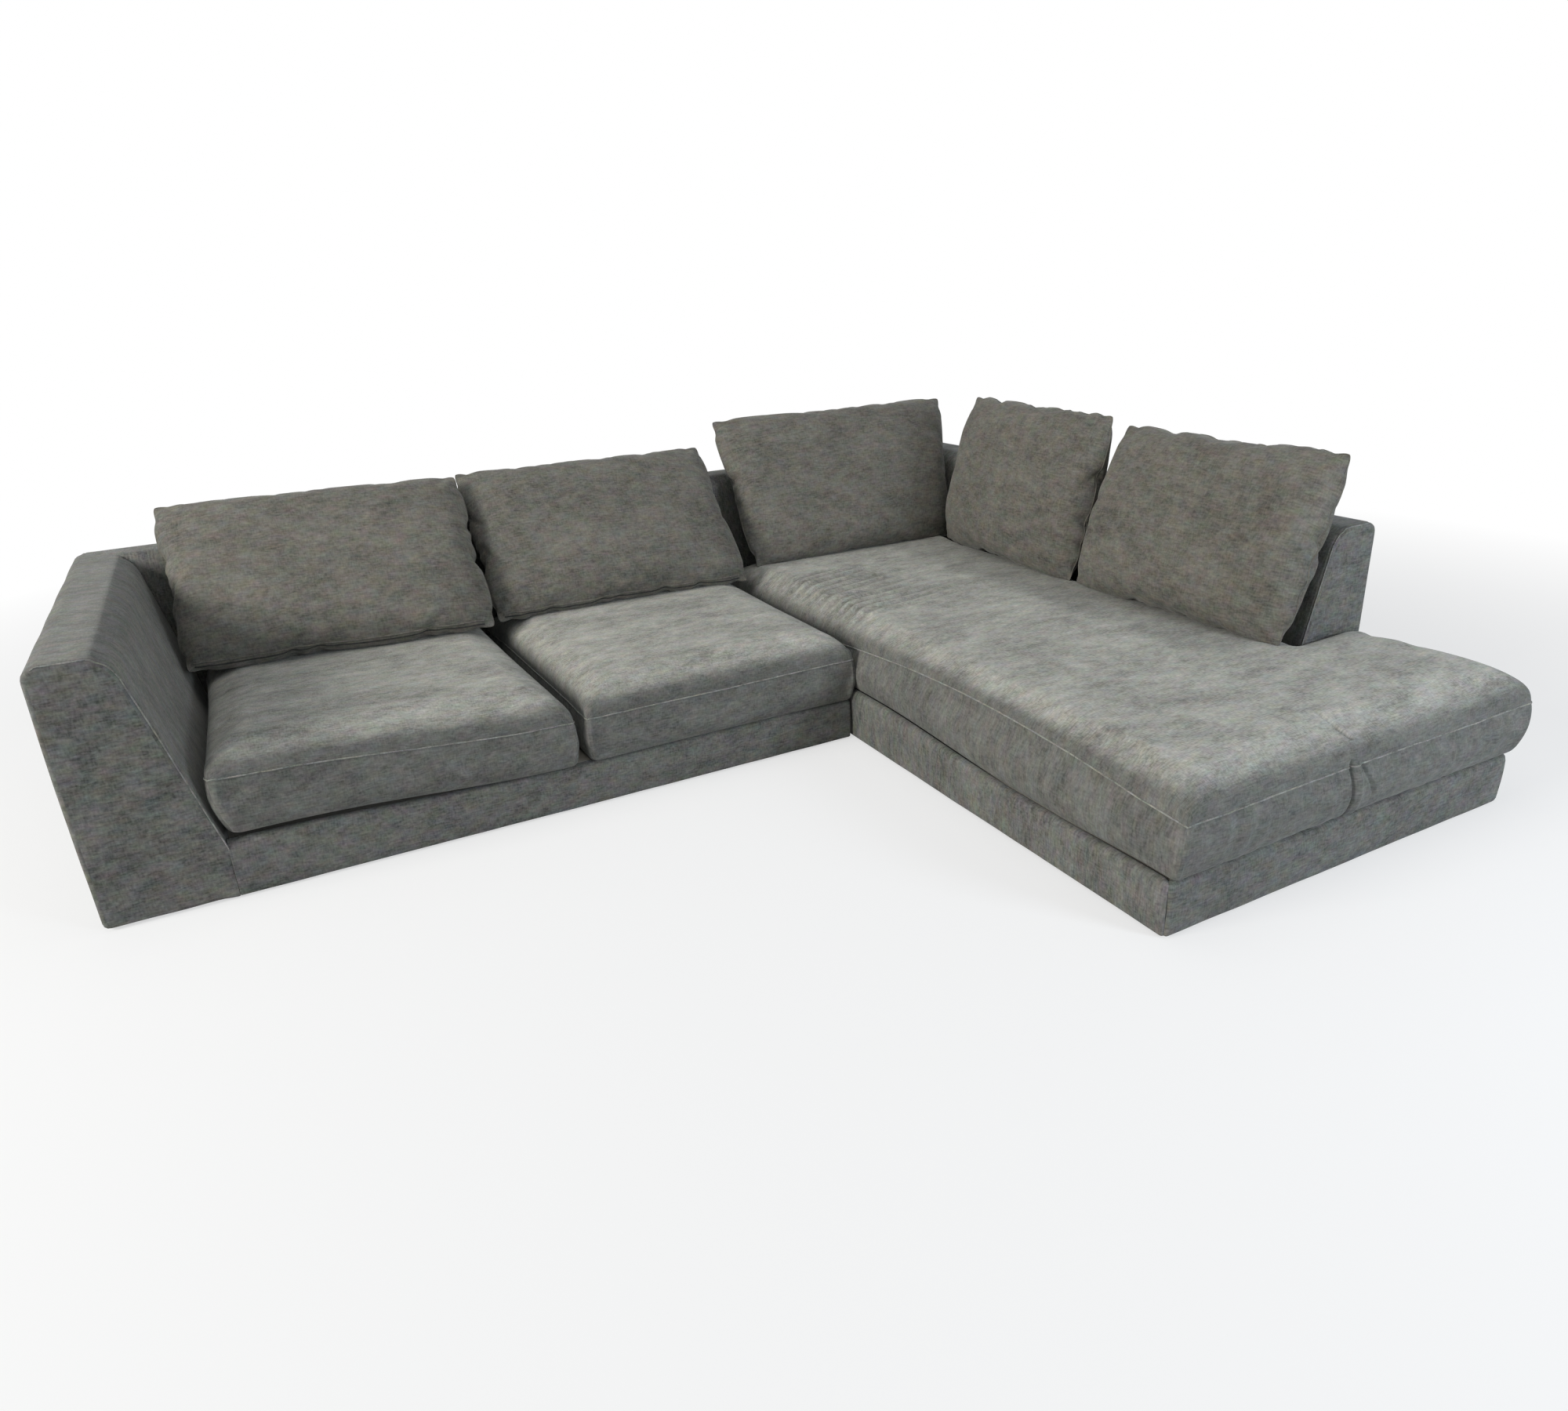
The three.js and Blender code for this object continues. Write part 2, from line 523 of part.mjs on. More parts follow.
// lift raises the cushion's front left corner, and drift moves the rear ends of its left and right
// sides; the rest of the cushion follows less the further away it is.
function makeSeatCushion({ seam, foot, seamHeight, footHeight, crown, counts, lift = 0, drift = [0, 0] }) {
  const width = seam.x[1] - seam.x[0];
  const rightShareAt = (x) => (x - seam.x[0]) / width;
  const rearShareAt = (y) => (y - seam.y[0]) / (seam.y[1] - seam.y[0]);
  const driftAt = (x, y) => rearShareAt(y) * (drift[0] + (drift[1] - drift[0]) * rightShareAt(x));
  const liftAt = (x, y) => lift * (1 - rightShareAt(x)) * (1 - rearShareAt(y));
  const crownAt = (x, y) => {
    const across = crownShareAt((2 * (x - middleOf(seam.x))) / (seam.x[1] - seam.x[0]));
    const along = crownShareAt((2 * (y - middleOf(seam.y))) / (seam.y[1] - seam.y[0]));
    return seamHeight + crown * across * along;
  };
  const points = [];
  const triangles = [];
  const addPoint = (x, y, z) => points.push(x + driftAt(x, y), y, z + liftAt(x, y)) / 3 - 1;
  const addQuad = (a, b, c, d) => triangles.push(a, b, c, a, c, d);

  const inside = ([low, high]) => [low + crownEdge, high - crownEdge];
  const topGrid = planGrid(inside(seam.x), inside(seam.y), counts, cushionCorner - crownEdge);
  const top = topGrid.map((line) => line.map(([x, y]) => addPoint(x, y, crownAt(x, y))));
  for (let row = 0; row < top.length - 1; row += 1) {
    for (let column = 0; column < top[0].length - 1; column += 1) {
      addQuad(top[row][column], top[row][column + 1], top[row + 1][column + 1], top[row + 1][column]);
    }
  }

  const between = (a, b) => [(a[0] + b[0]) / 2, (a[1] + b[1]) / 2];
  const bulged = { x: between(seam.x, foot.x), y: between(seam.y, foot.y) };
  bulged.x = [bulged.x[0] - boxingBulge, bulged.x[1] + boxingBulge];
  bulged.y = [bulged.y[0] - boxingBulge, bulged.y[1] + boxingBulge];
  const level = (span, z) => rimOf(planGrid(span.x, span.y, counts)).map(([x, y]) => addPoint(x, y, z));
  const middleHeight = (seamHeight + footHeight) / 2;
  const rims = [rimOf(top), level(seam, seamHeight), level(bulged, middleHeight), level(foot, footHeight)];
  for (let lower = 1; lower < rims.length; lower += 1) {
    const [above, below] = [rims[lower - 1], rims[lower]];
    for (let step = 0; step < above.length; step += 1) {
      const next = (step + 1) % above.length;
      addQuad(below[step], below[next], above[next], above[step]);
    }
  }
  const centre = addPoint(middleOf(foot.x), middleOf(foot.y), footHeight);
  const underside = rims[rims.length - 1];
  for (let step = 0; step < underside.length; step += 1) {
    triangles.push(centre, underside[(step + 1) % underside.length], underside[step]);
  }

  const geometry = new THREE.BufferGeometry();
  geometry.setAttribute("position", new THREE.Float32BufferAttribute(points, 3));
  geometry.setIndex(triangles);
  geometry.computeVertexNormals();

  // Height of the cushion's top at a place, which is first led back to where it was without the drift
  const topAt = (x, y) => {
    const stretch = 1 + (rearShareAt(y) * (drift[1] - drift[0])) / width;
    const straightX = seam.x[0] + (x - seam.x[0] - rearShareAt(y) * drift[0]) / stretch;
    return crownAt(straightX, y) + liftAt(straightX, y);
  };
  return { geometry, topAt };
}

const seatFoot = deckHeight;
const wallAtSeam = wallWidthAt(seatSeamHeight);
const bulgeRoom = boxingBulge + cushionClearance;
const seatRear = { seam: rearLine - wallAtSeam - bulgeRoom, foot: rearLine - wallFootWidth - bulgeRoom };
const seatArmSide = { seam: armLine + wallAtSeam + bulgeRoom, foot: armLine + wallFootWidth + bulgeRoom };
const seatDivide = seatArmSide.seam + firstSeatWidth;
const seatFront = { seam: -seatOverhang, foot: -seatOverhang + cushionTuck };
const secondSeatLeft = seatDivide + cushionGap;
const secondSeatRight = junctionOffset - cushionClearance;
const chaiseLeft = junctionOffset + cushionClearance;

const firstSeat = makeSeatCushion({
  seam: { x: [seatArmSide.seam, seatDivide], y: [seatFront.seam, seatRear.seam] },
  foot: { x: [seatArmSide.foot, seatDivide - cushionTuck], y: [seatFront.foot, seatRear.foot] },
  seamHeight: seatSeamHeight,
  footHeight: seatFoot,
  crown: seatCrown,
  counts: [9, 9],
  lift: firstSeatLift,
  drift: [0, seatDivideDrift],
});
addPiece("seat_cushion_left", firstSeat.geometry, upholstery);

const secondSeat = makeSeatCushion({
  seam: { x: [secondSeatLeft, secondSeatRight], y: [seatFront.seam, seatRear.seam] },
  foot: {
    x: [secondSeatLeft + cushionTuck, secondSeatRight - cushionTuck],
    y: [seatFront.foot, seatRear.foot],
  },
  seamHeight: seatSeamHeight,
  footHeight: seatFoot,
  crown: seatCrown,
  counts: [9, 9],
  drift: [seatDivideDrift, 0],
});
addPiece("seat_cushion_right", secondSeat.geometry, upholstery);

// The chaise cushion is cut out round the side back, with room for it to lift off.
const chaiseRight = sideLine + chaiseSideOverhang;
const chaiseFront = chaiseEnd - seatOverhang;
const chaiseSeat = makeSeatCushion({
  seam: { x: [chaiseLeft, chaiseRight], y: [chaiseFront, seatRear.seam] },
  foot: {
    x: [chaiseLeft + cushionTuck, chaiseRight - cushionTuck - chaiseSideOverhang],
    y: [chaiseFront + cushionTuck, seatRear.foot],
  },
  seamHeight: chaiseSeamHeight,
  footHeight: seatFoot,
  crown: chaiseCrown,
  counts: [10, 18],
});
const sideCutStart = sideBackEnd - cushionClearance;
const sideCutLength = sideBackLength + 2 * cushionClearance;
const sideCutOutline = wallOutline(cushionClearance);
const sideCutWall = extrudeWall(sideCutOutline, 0, sideCutLength, sideTurn, sideLine, sideCutStart);
const sideCutOutside = block(
  [sideLine - wallTopWidth, chaiseRight + overrun],
  [sideCutStart, sideCutStart + sideCutLength],
  [hemHeight, wallHeight],
);
const sideCut = solidOf(sideCutWall).add(solidOf(sideCutOutside));
const chaiseCushionSolid = solidOf(chaiseSeat.geometry).subtract(sideCut);
addPiece("chaise_cushion", geometryOf(chaiseCushionSolid), upholstery);

// Back cushions: two panels sewn edge to edge, thickest in the middle, with pointed corners.
// Each one stands on its seat cushion and leans back until it touches the wall behind it.
const pillowColumns = 14;
const pillowRows = 10;

function pillowGeometry(foot, top, height, shift) {
  const points = [];
  const triangles = [];
  for (const face of [-1, 1]) {
    const first = points.length / 3;
    for (let row = 0; row <= pillowRows; row += 1) {
      const v = Math.sin(Math.PI * (row / pillowRows - 1 / 2));
      for (let column = 0; column <= pillowColumns; column += 1) {
        const u = Math.sin(Math.PI * (column / pillowColumns - 1 / 2));
        const climb = (1 + v) / 2;
        const width = foot + (top - foot) * climb;
        const x = shift * climb + (u * width * (1 - pillowDrawInShare * (1 - v * v))) / 2;
        const z = (height * (1 + v * (1 - pillowDrawInShare * (1 - u * u)))) / 2;
        const fullness = Math.sqrt(Math.max(0, (1 - u * u) * (1 - v * v)));
        points.push(x, (face * pillowThickness * fullness) / 2, z);
      }
    }
    for (let row = 0; row < pillowRows; row += 1) {
      for (let column = 0; column < pillowColumns; column += 1) {
        const a = first + row * (pillowColumns + 1) + column;
        const b = a + 1;
        const c = b + pillowColumns + 1;
        const d = a + pillowColumns + 1;
        // The diagonal points at the nearest corner of the cushion, so that no corner closes flat.
        const rising = column < pillowColumns / 2 === row < pillowRows / 2;
        const faces = rising ? [a, b, c, a, c, d] : [a, b, d, b, c, d];
        triangles.push(...(face < 0 ? faces : faces.reverse()));
      }
    }
  }
  const geometry = new THREE.BufferGeometry();
  geometry.setAttribute("position", new THREE.Float32BufferAttribute(points, 3));
  geometry.setIndex(triangles);
  return mergeVertices(geometry);
}

function cornersOf(geometry) {
  const places = geometry.getAttribute("position");
  const cornerAt = (_, index) => new THREE.Vector3().fromBufferAttribute(places, index);
  return Array.from({ length: places.count }, cornerAt);
}

// facing turns the cushion from the rear backs to the side back; span is where its foot stands along
// the wall, and it stands on the cushion seat.
function addPillow(name, { facing, span, seat, leanDeg, yawDeg, height, topGain, shift }) {
  const foot = span[1] - span[0];
  const turned = pillowGeometry(foot, foot + topGain, height, shift)
    .rotateX(-THREE.MathUtils.degToRad(leanDeg))
    .rotateZ(facing + THREE.MathUtils.degToRad(yawDeg));
  const place = middleOf(span);
  const behindX = facing !== 0;
  const wallPlace = behindX ? sideLine : rearLine;
  turned.translate(behindX ? 0 : place, behindX ? place : 0, seatSeamHeight + seatCrown);
  let back = Infinity;
  for (const corner of cornersOf(turned)) {
    if (corner.z < wallHeight + leanHeight) {
      const reach = behindX ? corner.x : corner.y;
      back = Math.min(back, wallPlace - wallWidthAt(corner.z) - restGap - reach);
    }
  }
  turned.translate(behindX ? back : 0, behindX ? 0 : back, 0);
  const drops = cornersOf(turned).map((corner) => corner.z - seat.topAt(corner.x, corner.y));
  turned.translate(0, 0, restGap - Math.min(...drops));
  turned.computeVertexNormals();
  addPiece(name, turned, upholstery);
}

const facingFront = 0;
const facingLeft = -Math.PI / 2;
const wallAtPillowFoot = wallWidthAt(seatSeamHeight + seatCrown);
const firstPillowLeft = armLine + wallAtPillowFoot + pillowClearance;
const firstPillowRight = firstPillowLeft + firstSeatWidth - firstPillowInset;
const cornerPillowSpan = [junctionOffset + cornerPillowInset, sideLine - wallAtPillowFoot - cornerPillowGap];
const fifthPillowStart = sideBackEnd - fifthPillowOverhang;
const fifthPillowEnd = fifthPillowStart + fifthPillowWidth;
const fourthPillowSpan = [fifthPillowEnd + pillowClearance, rearLine - fourthPillowSetback];

addPillow("back_cushion_1", {
  facing: facingFront,
  span: [firstPillowLeft, firstPillowRight],
  seat: firstSeat,
  leanDeg: 41,
  yawDeg: -5.5,
  height: seatPillowHeight,
  topGain: firstPillowTopGain,
  shift: firstPillowShift,
});
addPillow("back_cushion_2", {
  facing: facingFront,
  span: [firstPillowRight + pillowClearance, junctionOffset - pillowClearance],
  seat: secondSeat,
  leanDeg: 41,
  yawDeg: -1.7,
  height: seatPillowHeight,
  topGain: secondPillowTopGain,
  shift: secondPillowShift,
});
addPillow("back_cushion_3", {
  facing: facingFront,
  span: cornerPillowSpan,
  seat: chaiseSeat,
  leanDeg: 29.5,
  yawDeg: -1,
  height: cornerPillowHeight,
  topGain: cornerPillowTopGain,
  shift: cornerPillowShift,
});
addPillow("back_cushion_4", {
  facing: facingLeft,
  span: fourthPillowSpan,
  seat: chaiseSeat,
  leanDeg: 14,
  yawDeg: -4.5,
  height: fourthPillowHeight,
  topGain: 0,
  shift: fourthPillowShift,
});
addPillow("back_cushion_5", {
  facing: facingLeft,
  span: [fifthPillowStart, fifthPillowEnd],
  seat: chaiseSeat,
  leanDeg: 20,
  yawDeg: 0,
  height: fifthPillowHeight,
  topGain: fifthPillowTopGain,
  shift: 0,
});

// The sofa's own origin is on the floor, in the middle of its whole length and depth.
sofa.position.set(-(armLine + chaiseRight) / 2, -(chaiseFront + rearLine) / 2, 0);

const group = new THREE.Group();
group.add(sofa);
export default group;
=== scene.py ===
import math

import bmesh
import bpy
from mathutils import Matrix, Vector, noise
from mathutils.bvhtree import BVHTree


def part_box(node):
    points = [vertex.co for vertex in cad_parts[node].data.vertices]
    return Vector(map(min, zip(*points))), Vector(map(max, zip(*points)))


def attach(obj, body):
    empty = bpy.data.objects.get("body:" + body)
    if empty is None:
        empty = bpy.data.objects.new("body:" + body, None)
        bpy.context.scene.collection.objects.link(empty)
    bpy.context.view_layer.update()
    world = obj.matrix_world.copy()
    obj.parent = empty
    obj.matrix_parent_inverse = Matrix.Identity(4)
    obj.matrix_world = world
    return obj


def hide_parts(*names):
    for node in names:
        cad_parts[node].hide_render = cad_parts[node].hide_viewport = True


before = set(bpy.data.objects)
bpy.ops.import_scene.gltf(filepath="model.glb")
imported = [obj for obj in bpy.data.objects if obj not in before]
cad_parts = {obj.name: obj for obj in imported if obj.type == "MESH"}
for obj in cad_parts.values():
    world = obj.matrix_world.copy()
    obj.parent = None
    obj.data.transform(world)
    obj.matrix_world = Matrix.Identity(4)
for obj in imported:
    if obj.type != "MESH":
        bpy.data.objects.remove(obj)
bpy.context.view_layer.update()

# Base frames and gussets: sawn timber rails on edge and plywood gussets, screwed and glued.
# They are closed in by the covers, and show only from below. Their CAD shapes stay.


class Strand:
    """One socket of a finish, which takes part in sums as a number would."""

    def __init__(self, finish, socket):
        self.finish = finish
        self.socket = socket

    def worked(self, operation, first, second):
        return self.finish.node("ShaderNodeMath", {"operation": operation}, {0: first, 1: second})

    def __add__(self, other):
        return self.worked("ADD", self, other)

    __radd__ = __add__

    def __sub__(self, other):
        return self.worked("SUBTRACT", self, other)

    def __rsub__(self, other):
        return self.worked("SUBTRACT", other, self)

    def __mul__(self, other):
        return self.worked("MULTIPLY", self, other)

    __rmul__ = __mul__


class Finish:
    """The shader of a material or of the world. node() adds one node at a time to it."""

    def __init__(self, owner, shader="Principled BSDF"):
        owner.use_nodes = True
        self.owner = owner
        self.tree = owner.node_tree
        self.shader = self.tree.nodes[shader]

    def node(self, kind, settings, sockets, output=0):
        made = self.tree.nodes.new(kind)
        for setting, value in settings.items():
            setattr(made, setting, value)
        self.feed(made, sockets)
        return Strand(self, made.outputs[output])

    def feed(self, made, sockets):
        for socket, value in sockets.items():
            if isinstance(value, Strand):
                self.tree.links.new(value.socket, made.inputs[socket])
            else:
                made.inputs[socket].default_value = value

    def place(self):
        return self.node("ShaderNodeTexCoord", {}, {}, output="Object")

    def product(self, first, second):
        return self.node("ShaderNodeVectorMath", {"operation": "MULTIPLY"}, {0: first, 1: second})

    def grain(self, place, stretch, detail=3.0, roughness=0.55, distortion=0.0):
        sockets = {"Vector": self.product(place, stretch), "Scale": 1.0, "Detail": detail}
        sockets.update({"Roughness": roughness, "Distortion": distortion})
        return self.node("ShaderNodeTexNoise", {}, sockets)

    def blend(self, share, first, second):
        sockets = {0: share, 6: first, 7: second}
        return self.node("ShaderNodeMix", {"data_type": "RGBA"}, sockets, output=2)

    def bump(self, height, depth, strength=1.0):
        return self.node("ShaderNodeBump", {}, {"Height": height, "Distance": depth, "Strength": strength})


def wood(name, pale, dark, along):
    finish = Finish(bpy.data.materials.new(name))
    place = finish.place()
    rings = finish.grain(place, along, detail=4.0, distortion=0.6)
    pores = finish.grain(place, [8 * share for share in along], detail=2.0)
    share = rings * 0.75 + pores * 0.25
    finish.feed(finish.shader, {
        "Base Color": finish.blend(share, pale, dark),
        "Roughness": pores * 0.25 + 0.55,
        "Normal": finish.bump(share, 0.0008),
    })
    return finish.owner


def dress(nodes, material):
    for name in nodes:
        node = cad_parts[name]
        node.data.materials.clear()
        node.data.materials.append(material)


sawn_timber = wood("sawn_timber", (0.52, 0.34, 0.17, 1), (0.36, 0.21, 0.09, 1), (14, 14, 60))
ply_face = wood("ply_face", (0.60, 0.44, 0.26, 1), (0.47, 0.32, 0.17, 1), (45, 45, 6))
rails = [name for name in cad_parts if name.endswith("_rail")]
gussets = [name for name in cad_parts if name.endswith("_gusset")]
dress(rails, sawn_timber)
dress(gussets, ply_face)

# Webbing, deck pads and dust cloths: elastic straps stapled to the rails, a needled felt pad on
# them, and a black non-woven cloth that closes each module from below. Their CAD shapes stay.


def woven(name, pale, dark, stretch, depth, roughness):
    finish = Finish(bpy.data.materials.new(name))
    place = finish.place()
    threads = finish.grain(place, stretch, detail=3.0, roughness=0.65)
    cloudy = finish.grain(place, (9, 9, 9), detail=2.0)
    share = threads * 0.7 + cloudy * 0.3
    finish.feed(finish.shader, {
        "Base Color": finish.blend(share, dark, pale),
        "Roughness": roughness + threads * 0.1,
        "Normal": finish.bump(threads, depth),
    })
    return finish.owner


strap = woven(
    "elastic_strap", pale=(0.075, 0.065, 0.05, 1), dark=(0.02, 0.018, 0.015, 1),
    stretch=(900, 260, 400), depth=0.0006, roughness=0.8,
)
needled_felt = woven(
    "needled_felt", pale=(0.40, 0.37, 0.32, 1), dark=(0.27, 0.25, 0.21, 1),
    stretch=(260, 260, 260), depth=0.0012, roughness=0.88,
)
black_cloth = woven(
    "black_cloth", pale=(0.022, 0.022, 0.024, 1), dark=(0.009, 0.009, 0.01, 1),
    stretch=(700, 700, 700), depth=0.0003, roughness=0.85,
)
dress(["seat_webbing", "chaise_webbing"], strap)
dress(["seat_deck_pad", "chaise_deck_pad"], needled_felt)
dress(["seat_dust_cloth", "chaise_dust_cloth"], black_cloth)

# Glides and connector: moulded plastic discs nailed under the rails, and a zinc-plated tongue
# and pocket that hold the two modules together. Their CAD shapes stay.

moulded = Finish(bpy.data.materials.new("moulded_plastic"))
specks = moulded.grain(moulded.place(), (500, 500, 500), detail=2.0)
scuffs = moulded.grain(moulded.place(), (60, 60, 60), detail=4.0, roughness=0.7)
moulded.feed(moulded.shader, {
    "Base Color": moulded.blend(scuffs, (0.012, 0.012, 0.014, 1), (0.035, 0.035, 0.037, 1)),
    "Roughness": scuffs * 0.3 + 0.35,
    "Normal": moulded.bump(specks, 0.0002),
})
dress([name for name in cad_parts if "_glide_" in name], moulded.owner)

plated = Finish(bpy.data.materials.new("zinc_plate"))
spangle_place = plated.product(plated.place(), (90, 90, 90))
spangle = plated.node("ShaderNodeTexVoronoi", {}, {"Vector": spangle_place, "Scale": 1.0})
brushing = plated.grain(plated.place(), (40, 900, 40), detail=3.0)
plated.feed(plated.shader, {
    "Base Color": plated.blend(spangle, (0.62, 0.63, 0.64, 1), (0.48, 0.49, 0.51, 1)),
    "Metallic": 1.0,
    "Roughness": brushing * 0.2 + 0.25,
    "Normal": plated.bump(brushing, 0.0001),
})
dress(["connector_tongue", "connector_pocket"], plated.owner)

# Walls: the arm and the three backs are one padded section, upright outside and sloping inside,
# covered in chenille and mitred where two of them meet. The covers are sewn and pulled down
# over foam, and stapled under the rails.

corner = Vector((
    (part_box("seat_front_skin")[1].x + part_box("chaise_joint_skin")[0].x) / 2,
    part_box("seat_front_skin")[0].y,
    0,
))  # the inner corner of the L, on the floor
module_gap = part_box("chaise_joint_skin")[0].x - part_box("seat_front_skin")[1].x
arm_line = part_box("arm_cover")[0].x
side_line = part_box("side_back_cover")[1].x
rear_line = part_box("seat_back_cover")[1].y
side_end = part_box("side_back_cover")[0].y
wall_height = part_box("arm_cover")[1].z
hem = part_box("arm_cover")[0].z
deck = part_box("seat_front_skin")[1].z
wall_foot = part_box("arm_cover")[1].x - arm_line
wall_top = 0.165


def chenille(name, shade=1.0, contrast=1.0, colour=1.0, warmth=(1.0, 1.0, 1.0)):
    """Grey-taupe chenille. Its slubs run along the first part of the lay, the warp across them. The
    nap lies in soft patches. Where the cloth is marked worn it turns paler and silvery: partly real
    wear of the nap, partly a painted sheen that makes the tops of the cushions lighter."""
    ground_dark, ground_pale = (0.073, 0.073, 0.067), (0.257, 0.256, 0.233)
    brushed_sheen_dark, brushed_sheen_pale = (0.163, 0.161, 0.143), (0.580, 0.573, 0.515)
    finish = Finish(bpy.data.materials.new(name))
    lay = finish.node("ShaderNodeAttribute", {"attribute_name": "lay"}, {}, output="Vector")
    wear_and_sheen = finish.node("ShaderNodeAttribute", {"attribute_name": "wear_and_sheen"}, {}, output="Fac")
    slubs = finish.grain(lay, (55, 210, 1), detail=2.0, roughness=0.6)
    warp = finish.grain(lay, (230, 80, 1), detail=1.0, roughness=0.5)
    cloudy = finish.grain(lay, (20, 34, 1), detail=3.0, roughness=0.6)
    nap = finish.grain(lay, (5, 8, 1), detail=4.0, roughness=0.6, distortion=0.3)
    share = (slubs - 0.5) * 1.25 + (warp - 0.5) * 0.75 + (cloudy - 0.5) * 1.1 + (nap - 0.5) * 0.9
    share = share * contrast + 0.5
    dark, pale, silver_dark, silver_pale = (
        [part * shade * warm for part, warm in zip(tone, warmth)] + [1]
        for tone in (ground_dark, ground_pale, brushed_sheen_dark, brushed_sheen_pale)
    )
    brushed_and_sheen = finish.blend(share + (nap - 0.5) * 0.5, silver_dark, silver_pale)
    ground = finish.blend(wear_and_sheen, finish.blend(share, dark, pale), brushed_and_sheen)
    flecks = finish.node("ShaderNodeTexNoise", {}, {
        "Vector": finish.product(lay, (24, 38, 1)), "Scale": 1.0, "Detail": 3.0, "Roughness": 0.65,
    }, output="Color")
    spread = (0.55 * colour, 0.42 * colour, 0.60 * colour)
    middle = [1 - part / 2 for part in spread]
    tinting = {0: flecks, 1: spread, 2: middle}
    tint = finish.node("ShaderNodeVectorMath", {"operation": "MULTIPLY_ADD"}, tinting)
    finish.feed(finish.shader, {
        "Base Color": finish.product(ground, tint),
        "Roughness": 0.95 - slubs * 0.1,
        "Normal": finish.bump(slubs * 0.6 + warp * 0.3 + cloudy * 0.5, 0.002, 0.5),
        "Sheen Weight": 0.2,
        "Sheen Roughness": 0.45,
        "Sheen Tint": (0.82, 0.84, 0.82, 1),
        "Specular IOR Level": 0.2,
    })
    return finish.owner


cover_cloth = chenille("chenille_cover")


def sew(name, points, faces, lays, material, wear_and_sheen=None):
    """A closed cloth form. lays says where the corners of each face lie on the cloth, and the last
    argument how pale and silvery the nap is at each point: partly real wear, partly a painted sheen."""
    mesh = bpy.data.meshes.new(name)
    mesh.from_pydata(points, [], faces)
    lay = mesh.attributes.new("lay", "FLOAT_VECTOR", "CORNER")
    lay.data.foreach_set("vector", [value for face in lays for place in face for value in place])
    rub_and_sheen = mesh.attributes.new("wear_and_sheen", "FLOAT", "POINT")
    rub_and_sheen.data.foreach_set("value", wear_and_sheen or [0.0] * len(points))
    mesh.materials.append(material)
    form = bmesh.new()
    form.from_mesh(mesh)
    bmesh.ops.recalc_face_normals(form, faces=form.faces)
    form.to_mesh(mesh)
    form.free()
    mesh.shade_smooth()
    piece = bpy.data.objects.new(name, mesh)
    bpy.context.scene.collection.objects.link(piece)
    return piece


def eased_outline(corners, step):
    """A closed outline through the corners, each rounded over its own reach."""
    outline = []
    count = len(corners)
    for index, (d, z, reach) in enumerate(corners):
        here = Vector((d, z))
        before = Vector(corners[index - 1][:2])
        after = Vector(corners[(index + 1) % count][:2])
        first = here + (before - here).normalized() * reach
        last = here + (after - here).normalized() * reach
        bends = max(2, round(reach / 0.006))
        for bend in range(bends + 1):
            share = bend / bends
            outline.append(first.lerp(here, share).lerp(here.lerp(last, share), share))
        following = corners[(index + 1) % count]
        target = after + (here - after).normalized() * following[2]
        steps = max(1, math.ceil((target - last).length / step))
        outline.extend(last.lerp(target, share / steps) for share in range(1, steps))
    return outline


def smooth_step(low, high, value):
    share = max(0.0, min(1.0, (value - low) / (high - low)))
    return share * share * (3 - 2 * share)


def end_stations(outline, kind, size):
    """Five rings at one end of a run, from its tip inwards. For each point of the outline they give
    how far in from the end it lies, how far it is tucked in, and how far it is led round the corner.
    A flush end is a plain one that turns sharp where the plinth joins on."""
    sharp = 0.002
    mitre_tucks = (0.0025, 0.0008, 0.0, 0.0, 0.0)
    mitre_reach = 0.02
    rings = []
    for turn, tuck in enumerate(mitre_tucks):
        ring = []
        for point in outline:
            radius = size - point.x
            if kind != "mitre":
                angle = math.pi / 2 * turn / 4
                reach = size
                if kind == "flush":
                    reach = sharp + (size - sharp) * smooth_step(0.003, 0.045, wall_foot - point.x)
                ring.append((reach * (1 - math.cos(angle)), reach * (1 - math.sin(angle)), 0.0))
            elif radius > 0:
                angle = math.pi / 4 * (1 - turn / 4)
                led = size - radius * math.cos(angle) - point.x
                ring.append((size - radius * math.sin(angle), tuck, led))
            else:
                ring.append((point.x + mitre_reach * turn / 4, tuck, 0.0))
        rings.append(ring)
    return rings


